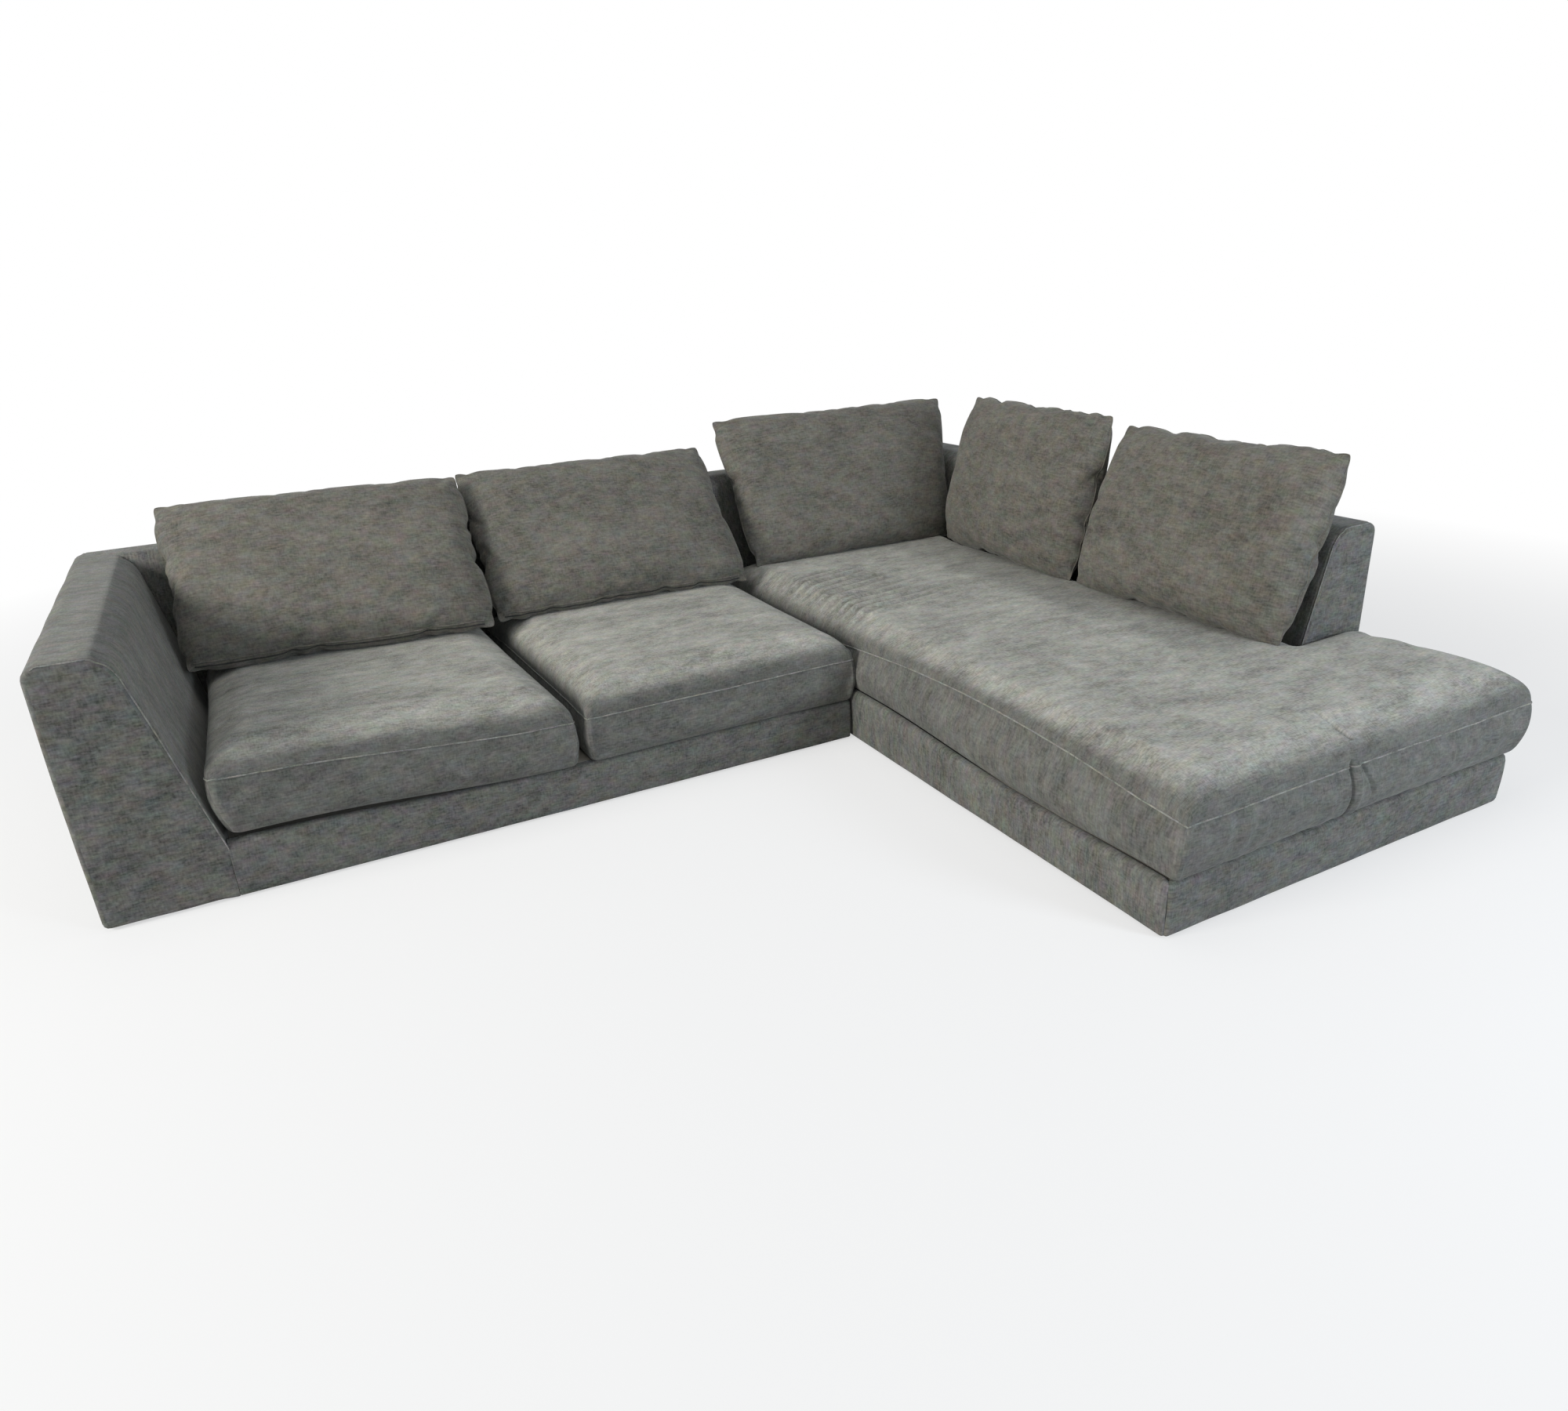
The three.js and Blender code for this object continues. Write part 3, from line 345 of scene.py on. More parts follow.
def padded_run(name, node, outline, start, stop, ends, place, bolt, swell, weft="across"):
    """Sweeps an outline of depth and height along a wall. An end is plain or flush, with the radius
    of its rounding, or a mitre, with the radius of the corner that it goes round. swell is how far
    a point of the surface is padded out."""
    step = 0.018
    cap_offset = 0.37  # along the bolt, from a run to its end caps
    count = len(outline)
    inward = []
    for index in range(count):
        along = outline[(index + 1) % count] - outline[index - 1]
        inward.append(Vector((along.y, -along.x)).normalized())
    first = end_stations(outline, *ends[0])
    last = end_stations(outline, *ends[1])
    lengths = [stop - start - first[-1][i][0] - last[-1][i][0] for i in range(count)]
    steps = max(1, round(max(lengths) / step))
    runs = [[(start + away, tuck, led) for away, tuck, led in ring] for ring in first]
    for part in range(1, steps):
        runs.append([(start + first[-1][i][0] + lengths[i] * part / steps, 0.0, 0.0) for i in range(count)])
    runs += [[(stop - away, tuck, led) for away, tuck, led in ring] for ring in reversed(last)]

    around = [0.0]
    for index in range(count):
        around.append(around[-1] + (outline[(index + 1) % count] - outline[index]).length)
    points = []
    spots = []
    rings = []
    for run in runs:
        ring = []
        for index, (along, tuck, led) in enumerate(run):
            section = outline[index] + inward[index] * tuck + Vector((led, 0))
            section = section - inward[index] * swell(along, section.x, section.y)
            ring.append(len(points))
            spots.append((along, section.x, section.y))
            points.append(place(along, section.x, section.y))
        rings.append(ring)
    faces = []
    lays = []
    for near, far in zip(rings, rings[1:]):
        for index in range(count):
            after = (index + 1) % count
            faces.append((near[index], near[after], far[after], far[index]))
            here, there = around[index], around[index + 1]
            lay = [(about, spots[v][0]) for about, v in zip((here, there, there, here), faces[-1])]
            lays.append([(*(on if weft == "across" else reversed(on)), bolt) for on in lay])

    for ring, (kind, size), outward, edge in ((rings[0], ends[0], -1, start), (rings[-1], ends[1], 1, stop)):
        outer = ring
        middle = Vector([sum(spots[vertex][part] for vertex in ring) / count for part in (1, 2)])
        shrinks = 9 if count > 60 else 3
        for shrink in range(1, shrinks + 1):
            share = 1 - shrink / shrinks
            inner = []
            for vertex in ring if shrink < shrinks else ring[:1]:
                along, d, z = spots[vertex]
                d = middle.x + (d - middle.x) * share
                z = middle.y + (z - middle.y) * share
                if kind == "mitre":
                    along = edge - outward * d
                inner.append(len(points))
                spots.append((along, d, z))
                points.append(place(along, d, z))
            for index in range(count):
                after = (index + 1) % count
                if shrink < shrinks:
                    faces.append((outer[index], inner[index], inner[after], outer[after]))
                else:
                    faces.append((outer[index], inner[0], outer[after]))
                lays.append([(spots[v][1], spots[v][2], bolt + cap_offset * outward) for v in faces[-1]])
            outer = inner
    piece = sew(name, points, faces, lays, cover_cloth)
    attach(piece, "frame")
    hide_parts(node)
    return piece, rings


wall_outline = eased_outline([
    (0, hem, 0.017),
    (0, wall_height, 0.034),
    (wall_top, wall_height, 0.056),
    (wall_foot, deck, 0.012),
    (wall_foot, hem, 0.004),
], 0.016)


def wall_padding(along, d, z):
    """How far the foam stands proud: fuller in the middle of each face, with slow unevenness."""
    height_share = max(0.0, min(1.0, (z - hem) / (wall_height - hem)))
    full = 0.0035 * math.sin(math.pi * height_share)
    if z > wall_height - 0.02 and 0.03 < d < wall_top - 0.03:
        full = 0.004
    return full + 0.0016 * noise.noise(Vector((along * 6, d * 9, z * 7)))


def welt(name, path, radius, body, material, closed=False):
    """A thin cord of cloth sewn along a seam, through the points of the path."""
    sides = 6
    parts = 3
    stretch = 0.004
    bolt = 80.0

    def at(places, index):
        return places[index % len(places) if closed else max(0, min(len(places) - 1, index))]

    fine = []
    for index in range(len(path) if closed else len(path) - 1):
        a, b, c, d = (at(path, index + away) for away in (-1, 0, 1, 2))
        for part in range(parts):
            t = part / parts
            fine.append(0.5 * (2 * b + (c - a) * t + (2 * a - 5 * b + 4 * c - d) * t * t
                               + (3 * b - a - 3 * c + d) * t * t * t))
    if not closed:
        fine.append(path[-1])
    points = []
    travelled = [0.0]
    across = None
    for index, place in enumerate(fine):
        along = (at(fine, index + 1) - at(fine, index - 1)).normalized()
        across = along.orthogonal() if across is None else across - along * across.dot(along)
        across.normalize()
        third = along.cross(across)
        for side in range(sides):
            angle = 2 * math.pi * side / sides
            points.append(place + (across * math.cos(angle) + third * math.sin(angle)) * radius)
        if index:
            travelled.append(travelled[-1] + (place - fine[index - 1]).length)
    faces = []
    lays = []
    for index in range(len(fine) if closed else len(fine) - 1):
        near, far = index * sides, (index + 1) % len(fine) * sides
        here, there = travelled[index], travelled[index] + stretch
        for side in range(sides):
            after = (side + 1) % sides
            faces.append((near + side, near + after, far + after, far + side))
            low, high = side * radius, (side + 1) * radius
            lays.append([(here, low, bolt), (here, high, bolt), (there, high, bolt), (there, low, bolt)])
    if not closed:
        for end in (list(range(sides)), list(range(len(points) - sides, len(points)))):
            faces.append(end)
            lays.append([(0.0, side * radius, bolt + 1) for side in range(sides)])
    piece = sew(name, [tuple(point) for point in points], faces, lays, material)
    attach(piece, body)


seam_gap = 0.0004
module_end = ("plain", 0.01)
wall_mitre = ("mitre", 0.045)
seat_right = corner.x - module_gap / 2
chaise_left = corner.x + module_gap / 2
arm, arm_rings = padded_run(
    "arm_wall", "arm_cover", wall_outline, corner.y, rear_line - seam_gap, (("flush", 0.011), wall_mitre),
    lambda along, d, z: (arm_line + d, along, z), 0.0, wall_padding,
)
seat_back, _ = padded_run(
    "seat_back_wall", "seat_back_cover", wall_outline, arm_line + seam_gap, seat_right,
    (wall_mitre, module_end), lambda along, d, z: (along, rear_line - d, z), 3.0, wall_padding,
)
chaise_back, _ = padded_run(
    "chaise_back_wall", "chaise_back_cover", wall_outline, chaise_left, side_line - seam_gap,
    (module_end, wall_mitre), lambda along, d, z: (along, rear_line - d, z), 7.0, wall_padding,
)
side_back, side_rings = padded_run(
    "side_back_wall", "side_back_cover", wall_outline, side_end, rear_line - seam_gap,
    (("flush", 0.012), wall_mitre), lambda along, d, z: (side_line - d, along, z), 11.0, wall_padding,
)

# Topstitched seams along the front edges of the arm and of the side back, from the outer top
# corner over the top and down the slope to the deck. Their cord is the chenille made paler: a
# painted highlight along the seam's ridge.

seam_highlight_cloth = chenille("chenille_seam", shade=1.75)
from_corner = next(i for i, p in enumerate(wall_outline) if p.y > wall_height - 0.001)
to_deck = max(i for i, p in enumerate(wall_outline) if p.y > deck - 0.004 and p.x > wall_top)
for name, piece, rings in (("arm_front_seam", arm, arm_rings), ("side_back_seam", side_back, side_rings)):
    path = [piece.data.vertices[v].co.copy() for v in rings[2][from_corner:to_deck + 1]]
    welt(name, path, 0.0019, "frame", seam_highlight_cloth)

# Plinth skins: a padded band of the same chenille round each base frame, from the hem to the
# deck. It is sewn at the corners, pulled over the rails and stapled above and below.

skin_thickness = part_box("seat_front_skin")[1].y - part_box("seat_front_skin")[0].y
skin_outline = eased_outline([
    (0, hem, 0.005),
    (0, deck, 0.016),
    (skin_thickness, deck, 0.003),
    (skin_thickness, hem, 0.002),
], 0.012)
end_rise = 0.004  # how far the chaise plinth's top is pulled up along its end


def skin_padding(along, d, z):
    if d > skin_thickness / 2:
        return 0.0
    share = max(0.0, min(1.0, (z - hem) / (deck - hem)))
    return 0.003 * math.sin(math.pi * share) + 0.0012 * noise.noise(Vector((along * 9, 4.2, z * 12)))


def seat_rise(x):
    """How far the seat plinth's top is pulled up towards the arm."""
    return 0.023 * smooth_step(-1.0, -1.68, x)


def chaise_rise(y):
    """How far the chaise plinth's top is pulled up towards the corner of the L, and at its end."""
    by_corner = smooth_step(-0.75, -0.12, y) * smooth_step(0.1, 0.01, y)
    return 0.024 * by_corner + end_rise * smooth_step(-0.9, -1.2, y)


def pulled_up(z, rise):
    return z + rise * max(0.0, (z - hem) / (deck - hem)) ** 2


chaise_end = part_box("chaise_end_skin")[0].y
back_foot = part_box("seat_joint_skin")[1].y
butted = ("plain", 0.003)
inner_mitre = ("mitre", 0.014)
outer_mitre = ("mitre", 0.06)
padded_run(
    "seat_front_band", "seat_front_skin", skin_outline, arm_line + wall_foot + 0.0003, seat_right,
    (("plain", 0.001), ("plain", 0.008)),
    lambda along, d, z: (along, corner.y + d, pulled_up(z, seat_rise(along - corner.x))),
    20.0, skin_padding, "along",
)
padded_run(
    "seat_joint_band", "seat_joint_skin", skin_outline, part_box("seat_joint_skin")[0].y, back_foot,
    (butted, butted), lambda along, d, z: (seat_right - d, along, z), 23.0, skin_padding,
)
padded_run(
    "chaise_joint_band", "chaise_joint_skin", skin_outline, chaise_end + seam_gap, back_foot,
    (inner_mitre, butted),
    lambda along, d, z: (chaise_left + d, along, pulled_up(z, chaise_rise(along - corner.y))),
    26.0, skin_padding,
)
padded_run(
    "chaise_end_band", "chaise_end_skin", skin_outline, chaise_left + seam_gap, side_line - seam_gap,
    (inner_mitre, outer_mitre),
    lambda along, d, z: (along, chaise_end + d, pulled_up(z, end_rise)), 29.0, skin_padding, "along",
)
padded_run(
    "chaise_outer_band", "chaise_outer_skin", skin_outline, chaise_end + seam_gap, side_end - 0.0005,
    (outer_mitre, butted),
    lambda along, d, z: (side_line - d, along, pulled_up(z, chaise_rise(along - corner.y))),
    32.0, skin_padding,
)

# Seat cushions: foam and fibre in loose chenille covers with a boxing, sewn to the top panel
# with a topstitched seam. Two lie on the seat module and one long one on the chaise.

seat_cloth = chenille("chenille_seat", contrast=0.8, colour=0.65)


def wall_depth(z):
    """From a wall's outer face to its sloping inner face, at a height above the floor."""
    return wall_foot - (wall_foot - wall_top) * (z - deck) / (wall_height - deck)


def hump(value, middle, width):
    return math.exp(-((value - middle) / width) ** 2)


def thread_lines(stops, step, fine=()):
    """Places of the mesh lines from one side to the other, closer by each stop and in fine spans."""
    near = (0.003, 0.007, 0.012, 0.018, 0.026, 0.036, 0.048)
    lines = set(stops)
    for low, high in zip(stops, stops[1:]):
        lines.update(low + away for away in near)
        lines.update(high - away for away in near)
        plain = high - low - 2 * near[-1]
        parts = max(2, round(plain / step))
        lines.update(low + near[-1] + plain * part / parts for part in range(1, parts))
    for low, high, close in fine:
        lines = {line for line in lines if not low - close / 2 < line < high + close / 2}
        parts = round((high - low) / close)
        lines.update(low + (high - low) * part / parts for part in range(parts + 1))
    return sorted(lines)


def led(value, stops, targets):
    """Where a place between the stops goes when the stops go to the targets."""
    for low, high, new_low, new_high in zip(stops, stops[1:], targets, targets[1:]):
        if value <= high or high == stops[-1]:
            return new_low + (new_high - new_low) * (value - low) / (high - low)


def round_corner(x, y, x_span, y_span, radius):
    """Leads a place in a square corner of the plan into the same corner, rounded."""
    reach_x = max(x_span[0] + radius - x, x - x_span[1] + radius, 0.0) / radius
    reach_y = max(y_span[0] + radius - y, y - y_span[1] + radius, 0.0) / radius
    if reach_x <= 0 or reach_y <= 0:
        return x, y
    way_x = 1 if x > sum(x_span) / 2 else -1
    way_y = 1 if y > sum(y_span) / 2 else -1
    disc_x = reach_x * math.sqrt(max(0.0, 1 - reach_y * reach_y / 2))
    disc_y = reach_y * math.sqrt(max(0.0, 1 - reach_x * reach_x / 2))
    return x + way_x * (disc_x - reach_x) * radius, y + way_y * (disc_y - reach_y) * radius


def finer(piece):
    """One round of subdivision. The mesh's own points keep their numbers."""
    smoothing = piece.modifiers.new("finer", "SUBSURF")
    smoothing.levels = 1
    smoothed = piece.evaluated_get(bpy.context.evaluated_depsgraph_get())
    piece.data = bpy.data.meshes.new_from_object(smoothed)
    piece.modifiers.clear()


def stuff(piece, pressure, frames, cap, stiffness, full_enough=None, pinned=()):
    """Blows the cover up as cloth, holds the pinned points, and lets no point move further than
    the cap. It may stop early, when the piece is full enough."""
    scene = bpy.context.scene
    before = [vertex.co.copy() for vertex in piece.data.vertices]
    cloth = piece.modifiers.new("stuffing", "CLOTH")
    settings = cloth.settings
    settings.quality = 6
    settings.mass = 0.3
    settings.use_pressure = True
    settings.uniform_pressure_force = pressure
    settings.tension_stiffness = stiffness
    settings.compression_stiffness = stiffness
    settings.shear_stiffness = stiffness / 4
    settings.bending_stiffness = 0.5
    settings.tension_damping = settings.compression_damping = settings.shear_damping = 5
    settings.air_damping = 1
    settings.effector_weights.gravity = 0
    cloth.collision_settings.use_collision = False
    cloth.point_cache.frame_start = 1
    cloth.point_cache.frame_end = frames
    if pinned:
        piece.vertex_groups.new(name="pinned").add(list(pinned), 1.0, "REPLACE")
        settings.vertex_group_mass = "pinned"
    for count in range(1, frames + 1):
        scene.frame_set(count)
        blown = piece.evaluated_get(bpy.context.evaluated_depsgraph_get()).data
        if full_enough and full_enough(blown):
            break
    after = [vertex.co.copy() for vertex in blown.vertices]
    piece.modifiers.clear()
    piece.vertex_groups.clear()
    scene.frame_set(1)
    for vertex, old, new in zip(piece.data.vertices, before, after):
        move = new - old
        if cap and move.length > cap:
            move = move * (cap / move.length)
        vertex.co = old + move


def boxed_cushion(name, node, x_stops, y_stops, x_feet, y_feet, seam_at, foot_at, top_at, edges, radii,
                  draw_in, bolt, drift=(0.0, 0.0), fine=((), ()), dents=None, brushed_and_sheen=lambda x, y: 1.0):
    """A crowned cushion with a boxing. x_stops and y_stops are its sides at the seam, x_feet and
    y_feet at the foot; a third stop cuts the far corner out. seam_at, foot_at and top_at give the
    heights. edges are how the top rises from the left, right, front and rear edge and from the cut:
    over what reach, and how steeply. radii are those of the left and the right corners in plan.
    draw_in is how far the middle of each side is drawn in, drift how far the rear left and right
    corners are led along x, fine the spans of close mesh lines, and dents each point's last move."""
    step = 0.02
    notch = len(x_stops) > 2
    xs = thread_lines(x_stops, step, fine[0])
    ys = thread_lines(y_stops, step, fine[1])
    x_cut, y_cut = (x_stops[1], y_stops[1]) if notch else (math.inf, math.inf)
    boxing_bulge = 0.008
    foot_rounding = 0.010
    left, right, front, rear, cut = edges

    def one_way(value, stops, feet, share, out):
        now = [a + (b - a) * share for a, b in zip(stops, feet)]
        now = [now[0] - out] + [stop + out for stop in now[1:]]
        return now, led(value, stops, now), 2 * (value - stops[0]) / (stops[-1] - stops[0]) - 1

    def planned(px, py, share, out):
        x_now, x, side_x = one_way(px, x_stops, x_feet, share, out)
        y_now, y, side_y = one_way(py, y_stops, y_feet, share, out)
        x_span, y_span = (x_now[0], x_now[-1]), (y_now[0], y_now[-1])
        if py > y_cut:
            x_span = (x_now[0], x_now[1])
        elif px > x_cut:
            y_span = (y_now[0], y_now[1])
        x, y = round_corner(x, y, x_span, y_span, radii[0] if x < sum(x_span) / 2 else radii[1])
        x -= draw_in[0] * side_x * (1 - side_y * side_y)
        y -= draw_in[1] * side_y * (1 - side_x * side_x)
        along = (side_y + 1) / 2
        return x + along * (drift[0] + (drift[1] - drift[0]) * (side_x + 1) / 2), y

    def rise(distance, reach, power):
        return max(0.0, 1 - max(0.0, 1 - distance / reach) ** power) ** (1 / 3)

    def fullness(px, py):
        past_cut, beside_cut = py > y_cut, px > x_cut
        by_left, by_front = rise(px - x_stops[0], *left), rise(py - y_stops[0], *front)
        by_right = rise(x_cut - px, *cut) if past_cut else rise(x_stops[-1] - px, *right)
        by_rear = rise(y_cut - py, *cut) if beside_cut else rise(y_stops[-1] - py, *rear)
        full = by_left * by_right * by_front * by_rear
        if notch and not past_cut and not beside_cut:
            full *= rise(math.hypot(x_cut - px, y_cut - py), *cut)
        over = Vector((by_left - by_right, by_front - by_rear))
        if over.length > 0:
            over /= abs(over.x) + abs(over.y)
        return full, over

    def kept(i, j):
        return xs[i] < x_cut - 1e-6 or ys[j] < y_cut - 1e-6

    def spots_of(i, j):
        return (i, j), (i + 1, j), (i + 1, j + 1), (i, j + 1)

    points = []
    rests = []
    wear_and_sheen = []

    def add(x, y, z, rub_and_sheen=0.0):
        points.append((corner.x + x, corner.y + y, z))
        rests.append((x, y, z))
        wear_and_sheen.append(rub_and_sheen)
        return len(points) - 1

    cells = [(i, j) for j in range(len(ys) - 1) for i in range(len(xs) - 1) if kept(i, j)]
    top = {}
    unrolled = {}
    for spot in (spot for cell in cells for spot in spots_of(*cell)):
        if spot not in top:
            px, py = xs[spot[0]], ys[spot[1]]
            x, y = planned(px, py, 0.0, 0.0)
            full, over = fullness(px, py)
            seam = seam_at(x, y)
            crown = top_at(x, y) - seam
            # The nearer the crown, the paler and more silvery the cloth: partly real wear, partly a painted
            # sheen on the top.
            top[spot] = add(x, y, seam + crown * full, smooth_step(0.5, 0.92, full) * brushed_and_sheen(x, y))
            over *= crown * (1 - full)
            unrolled[top[spot]] = (x + over.x, y + over.y, bolt)
    sides = set()
    for cell in cells:
        spots = spots_of(*cell)
        sides.update(zip(spots, spots[1:] + spots[:1]))
    follows = {a: b for a, b in sides if (b, a) not in sides}
    rim = [(0, 0)]
    while follows[rim[-1]] != rim[0]:
        rim.append(follows[rim[-1]])

    levels = [0.015, 0.05, 0.11, 0.2, 0.31, 0.43, 0.55, 0.67, 0.78, 0.87, 0.93, 0.97, 0.99, 1.0]
    round_from = 0.87
    rims = [[top[spot] for spot in rim]]
    for share in levels:
        out = boxing_bulge * math.sin(math.pi * share) ** 0.7 if share < 1 else 0.0
        if share > round_from:
            turn = (share - round_from) / (1 - round_from)
            out -= foot_rounding * (1 - math.sqrt(max(0.0, 1 - turn * turn)))
        ring = []
        for i, j in rim:
            x, y = planned(xs[i], ys[j], share, out)
            high, low = seam_at(x, y), foot_at(x, y)
            ring.append(add(x, y, high + (low - high) * share))
        rims.append(ring)
    base = dict(zip(rim, rims[-1]))
    for spot in top:
        if spot not in base:
            x, y = planned(xs[spot[0]], ys[spot[1]], 1.0, -foot_rounding)
            base[spot] = add(x, y, foot_at(x, y))

    faces = []
    lays = []
    for cell in cells:
        spots = spots_of(*cell)
        faces.append([top[spot] for spot in spots])
        lays.append([unrolled[v] for v in faces[-1]])
        faces.append([base[spot] for spot in reversed(spots)])
        lays.append([(rests[v][0], rests[v][1], bolt + 0.5) for v in faces[-1]])
    for upper, lower in zip(rims, rims[1:]):
        for index, spot in enumerate(rim):
            after = (index + 1) % len(rim)
            faces.append((lower[index], lower[after], upper[after], upper[index]))
            if spot[0] == rim[after][0]:
                lays.append([(rests[v][2], rests[v][1], bolt + 0.7) for v in faces[-1]])
            else:
                lays.append([(rests[v][0], rests[v][2], bolt + 0.9) for v in faces[-1]])
    piece = sew(name, points, faces, lays, seat_cloth, wear_and_sheen)
    foot = set(base.values()) | set(rims[-2]) | set(rims[-3])
    stuff(piece, pressure=2.5, frames=12, cap=0.012, stiffness=30, pinned=foot)
    for vertex in piece.data.vertices:
        vertex.co.z = max(vertex.co.z, deck + 0.0003)
    finer(piece)
    if dents:
        for vertex in piece.data.vertices:
            vertex.co = vertex.co + dents(vertex.co - corner)
    seam = [piece.data.vertices[v].co + Vector((0, 0, 0.0008)) for v in rims[0]]
    # The seam cord is paler cloth, a painted highlight along its ridge.
    welt(name + "_seam", seam, 0.0021, node, seam_highlight_cloth, closed=True)
    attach(piece, node)
    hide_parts(node)
    return piece


arm_x = arm_line - corner.x
rear_y = rear_line - corner.y
room = 0.009
seat_seam = 0.252
seat_rear = (rear_y - wall_depth(seat_seam) - room, rear_y - wall_foot - room)
arm_side = (arm_x + wall_depth(seat_seam) + room, arm_x + wall_foot + room)
divide = -0.852
seat_rest = deck + 0.0004
seat_crown = 0.081  # before the stuffing, which lifts the top by 12 mm
seat_edges = ((0.18, 5.0), (0.18, 5.0), (0.26, 5.7), (0.28, 5.7), None)
slant = 0.042  # of the joint between the two cushions, from front to rear


def first_lift(x, y):
    """How far the first cushion rides up at its front corner by the arm, as a share."""
    return smooth_step(divide, arm_side[0], x) * smooth_step(0.9, 0.0, y)


def first_foot(x, y):
    lifted = seat_rise(x) + 0.015 * smooth_step(divide, -1.5, x)
    return seat_rest + lifted * smooth_step(0.4, 0.02, y)


first_seat = boxed_cushion(
    "seat_by_arm", "seat_cushion_left",
    x_stops=(arm_side[0], divide), y_stops=(-0.014, seat_rear[0]),
    x_feet=(arm_side[1], divide - 0.012), y_feet=(-0.007, seat_rear[1]),
    seam_at=lambda x, y: seat_seam + 0.06 * first_lift(x, y),
    foot_at=first_foot,
    top_at=lambda x, y: seat_seam + seat_crown + 0.042 * first_lift(x, y),
    edges=seat_edges, radii=(0.03, 0.02), draw_in=(0.006, 0.006), bolt=40.0, drift=(0.0, -slant),
)
second_seat = boxed_cushion(
    "seat_by_chaise", "seat_cushion_right",
    x_stops=(divide + 0.012, 0.019), y_stops=(-0.014, seat_rear[0]),
    x_feet=(divide + 0.024, 0.003), y_feet=(-0.007, seat_rear[1]),
    seam_at=lambda x, y: seat_seam,
    foot_at=lambda x, y: seat_rest,
    top_at=lambda x, y: seat_seam + seat_crown,
    edges=seat_edges, radii=(0.022, 0.018), draw_in=(0.006, 0.006), bolt=43.0, drift=(-slant, 0.0),
)

# Chaise cushion: one long boxed cushion, cut out round the side back. Its cover is creased
# across near the corner of the sofa, and tucked in a pleat in the middle of its end.

side_x = side_line - corner.x
end_y = chaise_end - corner.y
side_end_y = side_end - corner.y
chaise_seam = 0.264
chaise_crown = 0.082
cut_x = (side_x - wall_depth(chaise_seam) - room, side_x - wall_foot - room)
pleat = 0.552


def end_slot(x, y):
    """How far the cushion's foot stands off the plinth along its end."""
    return (0.005 + 0.006 * smooth_step(0.1, 0.4, x)) * smooth_step(-0.9, -1.2, y)


def crosswise(x, y):
    """The ridges that run across the cushion near the corner of the sofa: how far the place lies
    among them, and how it lies on them, from trough to crest."""
    spacing = 0.047
    among = smooth_step(0.03, 0.10, x) * (1 - smooth_step(0.36, 0.60, x))
    among *= smooth_step(0.02, 0.16, y) * (1 - smooth_step(0.56, 0.68, y))
    line = y - 0.2 * x + 0.012 * noise.noise(Vector((x * 5, y * 5, 1.0)))
    ridge = math.sin(line * 2 * math.pi / spacing + 1.5 * noise.noise(Vector((x * 3, y * 9, 7.0))))
    return among, ridge


def chaise_dents(place):
    """How the cover is creased, tucked and gathered there: ridges and a dart on top, and slack, the
    pleat, a second tuck and the fold between them on the boxing of the end."""
    ridge_height, dart_depth, slack_depth = 0.0062, 0.011, 0.0042
    pleat_depth, tuck_depth, fold_height = 0.011, 0.009, 0.005
    x, y, z = place
    move = Vector((0, 0, 0))
    if z > 0.32:
        among, ridge = crosswise(x, y)
        uneven = 0.8 + 0.6 * noise.noise(Vector((x * 4, y * 16, 5.0)))
        move.z += ridge_height * among * ridge * uneven
        inwards = y - end_y
        dart_x = pleat + 0.028 - 0.5 * max(0.0, inwards - 0.02) + 4.5 * max(0.0, inwards - 0.03) ** 2
        move.z -= dart_depth * smooth_step(0.17, 0.03, inwards) * hump(x, dart_x, 0.006)
    if y < end_y + 0.012 and z < 0.34:
        boxing = smooth_step(0.275, 0.25, z)
        slack = smooth_step(0.02, 0.20, x) * smooth_step(1.18, 1.02, x)
        slack *= 1 - 0.8 * hump(x, pleat + 0.01, 0.05)
        broad = noise.noise(Vector((x * 26 - z * 4, z * 5, 3.0)))
        puckers = noise.noise(Vector((x * 95 - z * 9, z * 6, 9.0))) * smooth_step(0.15, 0.24, z)
        move.y -= slack_depth * slack * boxing * (broad + 0.9 * puckers)
        sunk = smooth_step(0.285, 0.262, z) * smooth_step(deck, deck + 0.012, z)
        move.y += pleat_depth * sunk * hump(x, pleat - 0.006 - 0.04 * (0.27 - z), 0.004)
        beside = smooth_step(0.268, 0.25, z) * smooth_step(0.17, 0.2, z)
        tuck_x = pleat + 0.030 + 0.45 * max(0.0, 0.27 - z)
        move.y += tuck_depth * beside * hump(x, tuck_x, 0.005)
        move.y -= fold_height * sunk * hump(x, pleat + 0.013, 0.010)
    return move


def chaise_sheen_wear_and_shade(x, y):
    """How pale and silvery the top is, partly real wear and partly a painted sheen. It is cut back
    for a painted shadow of the back cushions before their feet, and for painted shade in the
    troughs between the ridges."""
    # Painted shadow of the back cushions on the top, before their feet.
    flat = 0.5 * smooth_step(0.60, 0.69, x) * smooth_step(side_end_y - 0.06, side_end_y + 0.1, y)
    among, ridge = crosswise(x, y)
    # Painted shade in the troughs between the ridges.
    return 1 - flat - 0.22 * among * (1 - ridge)


def chaise_seam_at(x, y):
    """The seam, which rides up along the side that faces the seats."""
    along = max(0.0, min(1.0, (y - end_y) / (0.15 - end_y)))
    return chaise_seam + 0.045 * smooth_step(0.5, 0.02, x) * math.sin(math.pi * along)


